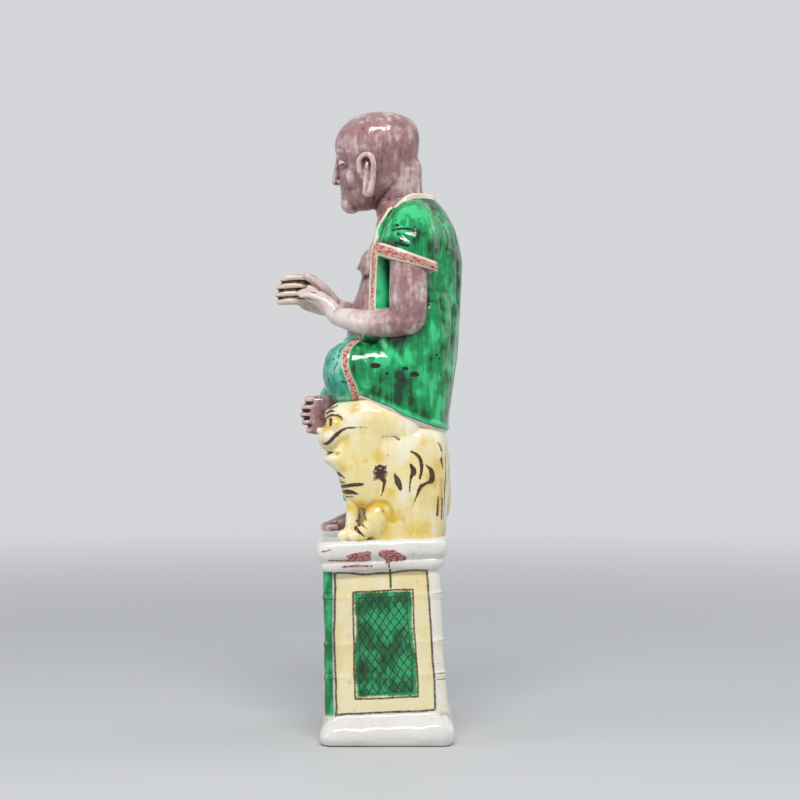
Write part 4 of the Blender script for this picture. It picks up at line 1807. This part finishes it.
PANEL_GREEN = (colour(0.02, 0.38, 0.13), colour(0.0, 0.13, 0.033), colour(0.0, 0.022, 0.007))
CANE_GREEN = (colour(0.04, 0.44, 0.16), colour(0.0, 0.18, 0.05), colour(0.0, 0.05, 0.016))

# inks, stains and bare clay
PINHOLE_BROWN = colour(0.035, 0.022, 0.015)
BROWN_INK = colour(0.045, 0.020, 0.010)
BLACK_INK = colour(0.008, 0.007, 0.008)
GREEN_INK = colour(0.010, 0.014, 0.007)
INK_HALO = colour(0.30, 0.12, 0.04)
RUST = colour(0.26, 0.08, 0.03)
AMBER = colour(0.80, 0.53, 0.03)
IRON_RED = colour(0.42, 0.045, 0.030)
SLAB_RED = colour(0.36, 0.035, 0.028)
CREAM = colour(0.80, 0.70, 0.56)
WHITE = colour(0.74, 0.71, 0.72)
LID_PLUM = colour(0.03, 0.012, 0.014)
DIRT = colour(0.42, 0.30, 0.18)
IRON_STAIN = colour(0.62, 0.28, 0.04)
NODE_GREEN = colour(0.005, 0.04, 0.015)
DRIP_GREEN = colour(0.03, 0.10, 0.03)
BISCUIT = (colour(0.62, 0.55, 0.44), colour(0.48, 0.40, 0.30))


# %% Robe: leaf green, blue-green trousers, cream borders with iron red
def make_robe_glaze():
    made, b = start_material("robe_green")
    green = pooled(b, LEAF_GREEN, weight=2.2, streaks=1.5, clouds=2.6, start=0.56)
    sea = pooled(b, SEA_GREEN, weight=1.8, streaks=0.8, clouds=1.7, start=0.42)
    sea = b.mix(brushed(b, b.value("knee_dash"), 0.15, 0.2), sea, BLACK_INK)
    base = b.mix(brushed(b, b.value("trousers"), 0.4, 0.5), green, sea)
    base = b.mix(brushed(b, b.value("splash"), 0.2, 1.0), base, BLACK_INK)
    under = b.mix(brushed(b, b.math("SUBTRACT", b.value("over_hem"), -0.9), 0.3, 0.4), WHITE, CREAM)
    base = b.mix(brushed(b, b.value("over_hem"), 0.3, 0.5), base, under)
    hem_line = b.math("SUBTRACT", b.math("ABSOLUTE", b.value("over_hem")), 0.22)
    base = b.mix(brushed(b, hem_line, 0.15, 0.7, 0.3), base, BROWN_INK)
    border = b.mix(brushed(b, b.value("border_red"), 0.25, 1.0, 0.5), CREAM, IRON_RED)
    base = b.mix(brushed(b, b.value("border"), 0.2, 0.35), base, border)
    line = b.math("SUBTRACT", b.value("border_line"), 0.10)
    base = b.mix(b.math("MULTIPLY", brushed(b, line, 0.12, 0.6, 0.4), 0.8), base, BROWN_INK)
    base = b.mix(b.value("sleeve_lip"), base, CREAM)
    glazed(b, base, 0.10, 1.0, 0.35, 0.30)
    return made


# %% Tiger: pale yellow, deeper low down, with pools of amber and brown strokes
def make_tiger_glaze():
    made, b = start_material("tiger_yellow")
    place = b.node("ShaderNodeTexCoord").outputs["Object"]
    height = b.node("ShaderNodeSeparateXYZ", {"Vector": place}).outputs["Z"]
    start = b.spread(height, 0.128, 0.092, 0.28, 0.46)
    base = pooled(b, TIGER_YELLOW, weight=1.5, streaks=0.6, clouds=1.6, start=start)
    fray = b.math("ADD", b.noise(place, 260.0), b.noise(place, 110.0))
    patch = b.math("ADD", b.value("amber"), b.math("MULTIPLY", b.math("SUBTRACT", fray, 1.0), 1.5))
    patch = b.math("MULTIPLY", b.spread(patch, 0.15, 1.45), b.spread(b.value("amber"), 0.0, 0.6))
    base = b.mix(patch, base, AMBER)
    base = b.mix(brushed(b, b.value("rust"), 0.15, 0.9, 0.35), base, RUST)
    halo = brushed(b, b.math("SUBTRACT", b.value("ink"), 0.10), 0.30, 0.8, 0.2)
    base = b.mix(b.math("MULTIPLY", halo, 0.55), base, INK_HALO)
    base = b.mix(brushed(b, b.value("ink"), 0.16, 0.7, 0.08), base, BROWN_INK)
    glazed(b, base, 0.12, 1.0, 0.6, 0.28)
    return made


# %% Skin: mottled aubergine, paler on the forearms and ochre on the fingers
def make_skin_glaze():
    made, b = start_material("skin_aubergine")
    base = pooled(b, PLUM, weight=2.6, streaks=0.9, clouds=1.3, start=0.45, mottle=0.8)
    pale = pooled(b, PALE_PLUM, weight=2.6, streaks=0.5, clouds=1.4, start=0.28, mottle=0.8)
    ochre = pooled(b, OCHRE, weight=2.6, streaks=0.5, clouds=1.3, start=0.34, mottle=0.8)
    place = b.node("ShaderNodeTexCoord").outputs["Object"]
    front = b.node("ShaderNodeSeparateXYZ", {"Vector": place}).outputs["Y"]
    warm = b.mix(b.spread(front, -0.019, -0.028), pale, ochre)
    base = b.mix(b.math("MULTIPLY", b.value("palm"), 0.8), base, warm)
    line = brushed(b, b.math("SUBTRACT", b.value("lid_line"), 0.15), 0.35, 0.25)
    base = b.mix(b.math("MULTIPLY", line, 0.75), base, LID_PLUM)
    glazed(b, base, 0.14, 1.0, 0.8, 0.30)
    return made


# %% [markdown]
# The pedestal's net is two families of slanting lines. A number rises across and up the panel, and a line
# is drawn wherever it passes a whole pitch. Noise shakes the number, so that no line is quite straight.

# %% Pedestal: white, yellow panels, green net, bamboo canes and iron red
NET_PITCH = 3.6
NET_ACROSS = 1.15
NET_UP = 0.80
NET_STEEPNESS = 1.4  # how fast the number rises a millimetre, straight over the lines
NET_SHAKE = 4.0
NET_HALF_LINE = 0.19


def make_pedestal_glaze():
    made, b = start_material("pedestal_white")
    white = pooled(b, CLEAR, weight=1.0, streaks=0.2, clouds=0.8, start=0.25)
    yellow = pooled(b, PANEL_YELLOW, weight=0.8, streaks=0.4, clouds=1.4, start=0.26)
    across, up = b.value("across"), b.value("up")
    start = b.spread(up, -14.0, 21.0, 0.94, 0.36)
    green = pooled(b, PANEL_GREEN, weight=0.5, streaks=1.3, clouds=2.2, start=start)
    leaf = pooled(b, CANE_GREEN, weight=0.4, streaks=1.2, clouds=1.8, start=0.50)
    place = b.node("ShaderNodeTexCoord").outputs["Object"]
    stain = b.math("MULTIPLY", b.spread(b.noise(place, 130.0, 4.0, 0.7), 0.60, 0.72), 0.5)
    white = b.mix(stain, white, DIRT)
    yellow = b.mix(b.math("MULTIPLY", stain, 0.8), yellow, IRON_STAIN)
    base = b.mix(brushed(b, b.value("outer_frame"), 0.5, 0.5), white, yellow)
    base = b.mix(brushed(b, b.math("ADD", b.value("panel"), 0.6), 0.8, 1.8), base, green)
    lines = []
    for way in (1.0, -1.0):
        slope = b.math("ADD", b.math("MULTIPLY", across, way * NET_ACROSS), b.math("MULTIPLY", up, NET_UP))
        shake = b.math("SUBTRACT", b.noise(b.stretch(place, (way, 1.0, 1.0)), 75.0, 2.0, 0.5), 0.5)
        slope = b.math("ADD", slope, b.math("MULTIPLY", shake, NET_SHAKE))
        cell = b.math("FRACT", b.math("DIVIDE", slope, NET_PITCH))
        lines.append(b.math("ABSOLUTE", b.math("SUBTRACT", cell, 0.5)))
    net = b.math("MULTIPLY", b.math("MINIMUM", *lines), NET_PITCH / NET_STEEPNESS)
    net = b.math("MAXIMUM", b.math("SUBTRACT", net, NET_HALF_LINE), b.value("net_edge"))
    base = b.mix(b.math("MULTIPLY", brushed(b, net, 0.16, 0.6), 0.95), base, GREEN_INK)
    for name, width in (("outer_frame", 0.42), ("panel_line", 0.36), ("net_edge", 0.20)):
        edge = b.math("SUBTRACT", b.math("ABSOLUTE", b.value(name)), width)
        base = b.mix(b.math("MULTIPLY", brushed(b, edge, 0.14, 0.45, 0.2), 0.95), base, BROWN_INK)
    cane_white = b.mix(0.35, white, yellow)
    back = b.node("ShaderNodeSeparateXYZ", {"Vector": place}).outputs["Y"]
    cane = b.mix(b.spread(back, 0.006, 0.009), leaf, cane_white)
    node_line = b.math("SUBTRACT", b.value("node_line"), 0.22)
    cane = b.mix(b.math("MULTIPLY", brushed(b, node_line, 0.15, 0.3), 0.8), cane, NODE_GREEN)
    base = b.mix(b.value("cane"), base, cane)
    drip = b.math("SUBTRACT", b.value("drip"), 0.22)
    base = b.mix(brushed(b, drip, 0.2, 0.5), base, DRIP_GREEN)
    base = b.mix(brushed(b, b.value("dab"), 0.25, 1.3, 0.32), base, SLAB_RED)
    biscuit = b.mix(b.noise(place, 300.0), *BISCUIT)
    base = b.mix(b.value("bare"), base, biscuit)
    glazed(b, base, 0.14, 1.0, 0.9, 0.25)
    b.join(b.spread(b.value("bare"), 0.0, 1.0, 0.2, 0.0), b.shader.inputs["Coat Weight"])
    return made


for piece, glaze in (
    (robe, make_robe_glaze()),
    (tiger, make_tiger_glaze()),
    (body, make_skin_glaze()),
    (pedestal, make_pedestal_glaze()),
):
    piece.data.materials.append(glaze)
    print(piece.name, "is glazed with", glaze.name, "and has", len(piece.data.attributes), "layers")
for piece in (arms, feet):
    piece.data.materials.append(body.data.materials[0])
PIECES = (pedestal, tiger, robe, body, arms, feet)

# %% [markdown]
# ## Join the frame
#
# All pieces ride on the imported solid's one body and stand for its one node.

for piece in PIECES:
    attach(piece, "root")
    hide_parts("arhat_statue")
print("pieces:", len(PIECES), "faces:", sum(len(piece.data.polygons) for piece in PIECES))

# %% [markdown]
# ## Studio
#
# The figure stands on a pale table top that fades into a pale background. A long soft box hangs high on the
# camera's side, and two larger, weaker ones stand before and behind the figure, so the glaze shows broad,
# soft-edged highlights and the sides away from the camera stay readable. Where the camera or a reflection
# sees the background, it is brighter than the light that it gives.


# %% Floor, background and light
def make_floor(reach=6.0, rings=30, sides=96):
    """A disc: rings of points at radius r and angle a, at r cos a and r sin a."""
    radius = np.linspace(0.05, reach, rings)[:, None]
    angle = np.linspace(0, 2 * np.pi, sides, endpoint=False)[None, :]
    x, y = radius * np.cos(angle), radius * np.sin(angle)
    points = np.vstack([np.stack([x, y, 0 * x], axis=-1).reshape(-1, 3), [[0, 0, 0]]])
    index = np.arange(rings * sides).reshape(rings, sides)
    after = np.roll(index, -1, axis=1)
    quads = np.stack([index[:-1], index[1:], after[1:], after[:-1]], axis=-1).reshape(-1, 4).tolist()
    fan = np.stack([np.full(sides, rings * sides), index[0], after[0]], axis=-1).tolist()
    mesh = bpy.data.meshes.new("floor")
    mesh.from_pydata(points.tolist(), [], quads + fan)
    return put("floor", mesh)


def seen(b):
    """1 for rays from the camera, and for reflected and refracted ones, 0 for the light that falls."""
    rays = b.node("ShaderNodeLightPath").outputs
    bounced = b.math("MAXIMUM", rays["Is Glossy Ray"], rays["Is Transmission Ray"])
    return b.math("MAXIMUM", rays["Is Camera Ray"], bounced)


BACKGROUND = colour(0.66, 0.67, 0.69)
AMBIENT = colour(0.34, 0.35, 0.36)
TABLE_GREY = colour(0.62, 0.63, 0.65)
floor = make_floor()
floor_paint = bpy.data.materials.new("table_top")
floor_paint.use_nodes = True
b = Board(floor_paint.node_tree)
shader = floor_paint.node_tree.nodes["Principled BSDF"]
shader.inputs["Base Color"].default_value = TABLE_GREY
shader.inputs["Roughness"].default_value = 0.55
place = b.node("ShaderNodeTexCoord").outputs["Object"]
away = b.node("ShaderNodeVectorMath", {0: place}, operation="LENGTH").outputs["Value"]
fade = b.math("MULTIPLY", b.spread(away, 0.25, 1.1), seen(b))
glow = b.node("ShaderNodeEmission", {"Color": BACKGROUND, "Strength": 1.0}).outputs[0]
joined = b.node("ShaderNodeMixShader", {0: fade, 1: shader.outputs[0], 2: glow})
b.join(joined.outputs[0], floor_paint.node_tree.nodes["Material Output"].inputs["Surface"])
floor.data.materials.append(floor_paint)

world = bpy.data.worlds.new("studio")
bpy.context.scene.world = world
world.use_nodes = True
b = Board(world.node_tree)
background = world.node_tree.nodes["Background"]
b.join(b.mix(seen(b), AMBIENT, BACKGROUND), background.inputs["Color"])
background.inputs["Strength"].default_value = 1.0


def soft_box(name, place, aim, size, watts):
    """A rectangular area light at place that faces aim, in metres, with its long side level."""
    lamp = bpy.data.lights.new(name, "AREA")
    lamp.shape = "RECTANGLE"
    lamp.size, lamp.size_y = size
    lamp.energy = watts
    made = bpy.data.objects.new(name, lamp)
    bpy.context.scene.collection.objects.link(made)
    made.location = place
    way = np.array(aim) - np.array(place)
    turn = math.atan2(way[1], way[0]) - math.pi / 2
    dip = math.atan2(-way[2], math.hypot(way[0], way[1]))
    made.rotation_euler = (math.pi / 2 - dip, 0, turn)
    return made


soft_box("key_box", (0.56, 0.02, 0.78), (0, 0, 0.15), (0.44, 0.18), 5.2)
soft_box("front_box", (0.30, -0.80, 0.35), (0, 0, 0.14), (0.50, 0.50), 1.6)
soft_box("back_box", (-0.20, 0.80, 0.50), (0, 0, 0.14), (0.60, 0.60), 1.4)

# %% [markdown]
# ## Camera
#
# The photograph was taken from the figure's left side with a long lens, about a metre away and nearly
# level.

# %% Camera
SENSOR_MM = 36.0
LENS_MM = 112.5
CAMERA_PLACE = (0.9865, 0.0132, 0.1595)
CAMERA_DIP = 1.6
lens = bpy.data.cameras.new("photo_camera")
lens.sensor_width = SENSOR_MM
lens.lens = LENS_MM
camera = bpy.data.objects.new("photo_camera", lens)
bpy.context.scene.collection.objects.link(camera)
camera.location = CAMERA_PLACE
camera.rotation_euler = (math.radians(90 - CAMERA_DIP), 0, math.radians(90))
bpy.context.scene.camera = camera
bpy.context.scene.view_settings.view_transform = "Standard"
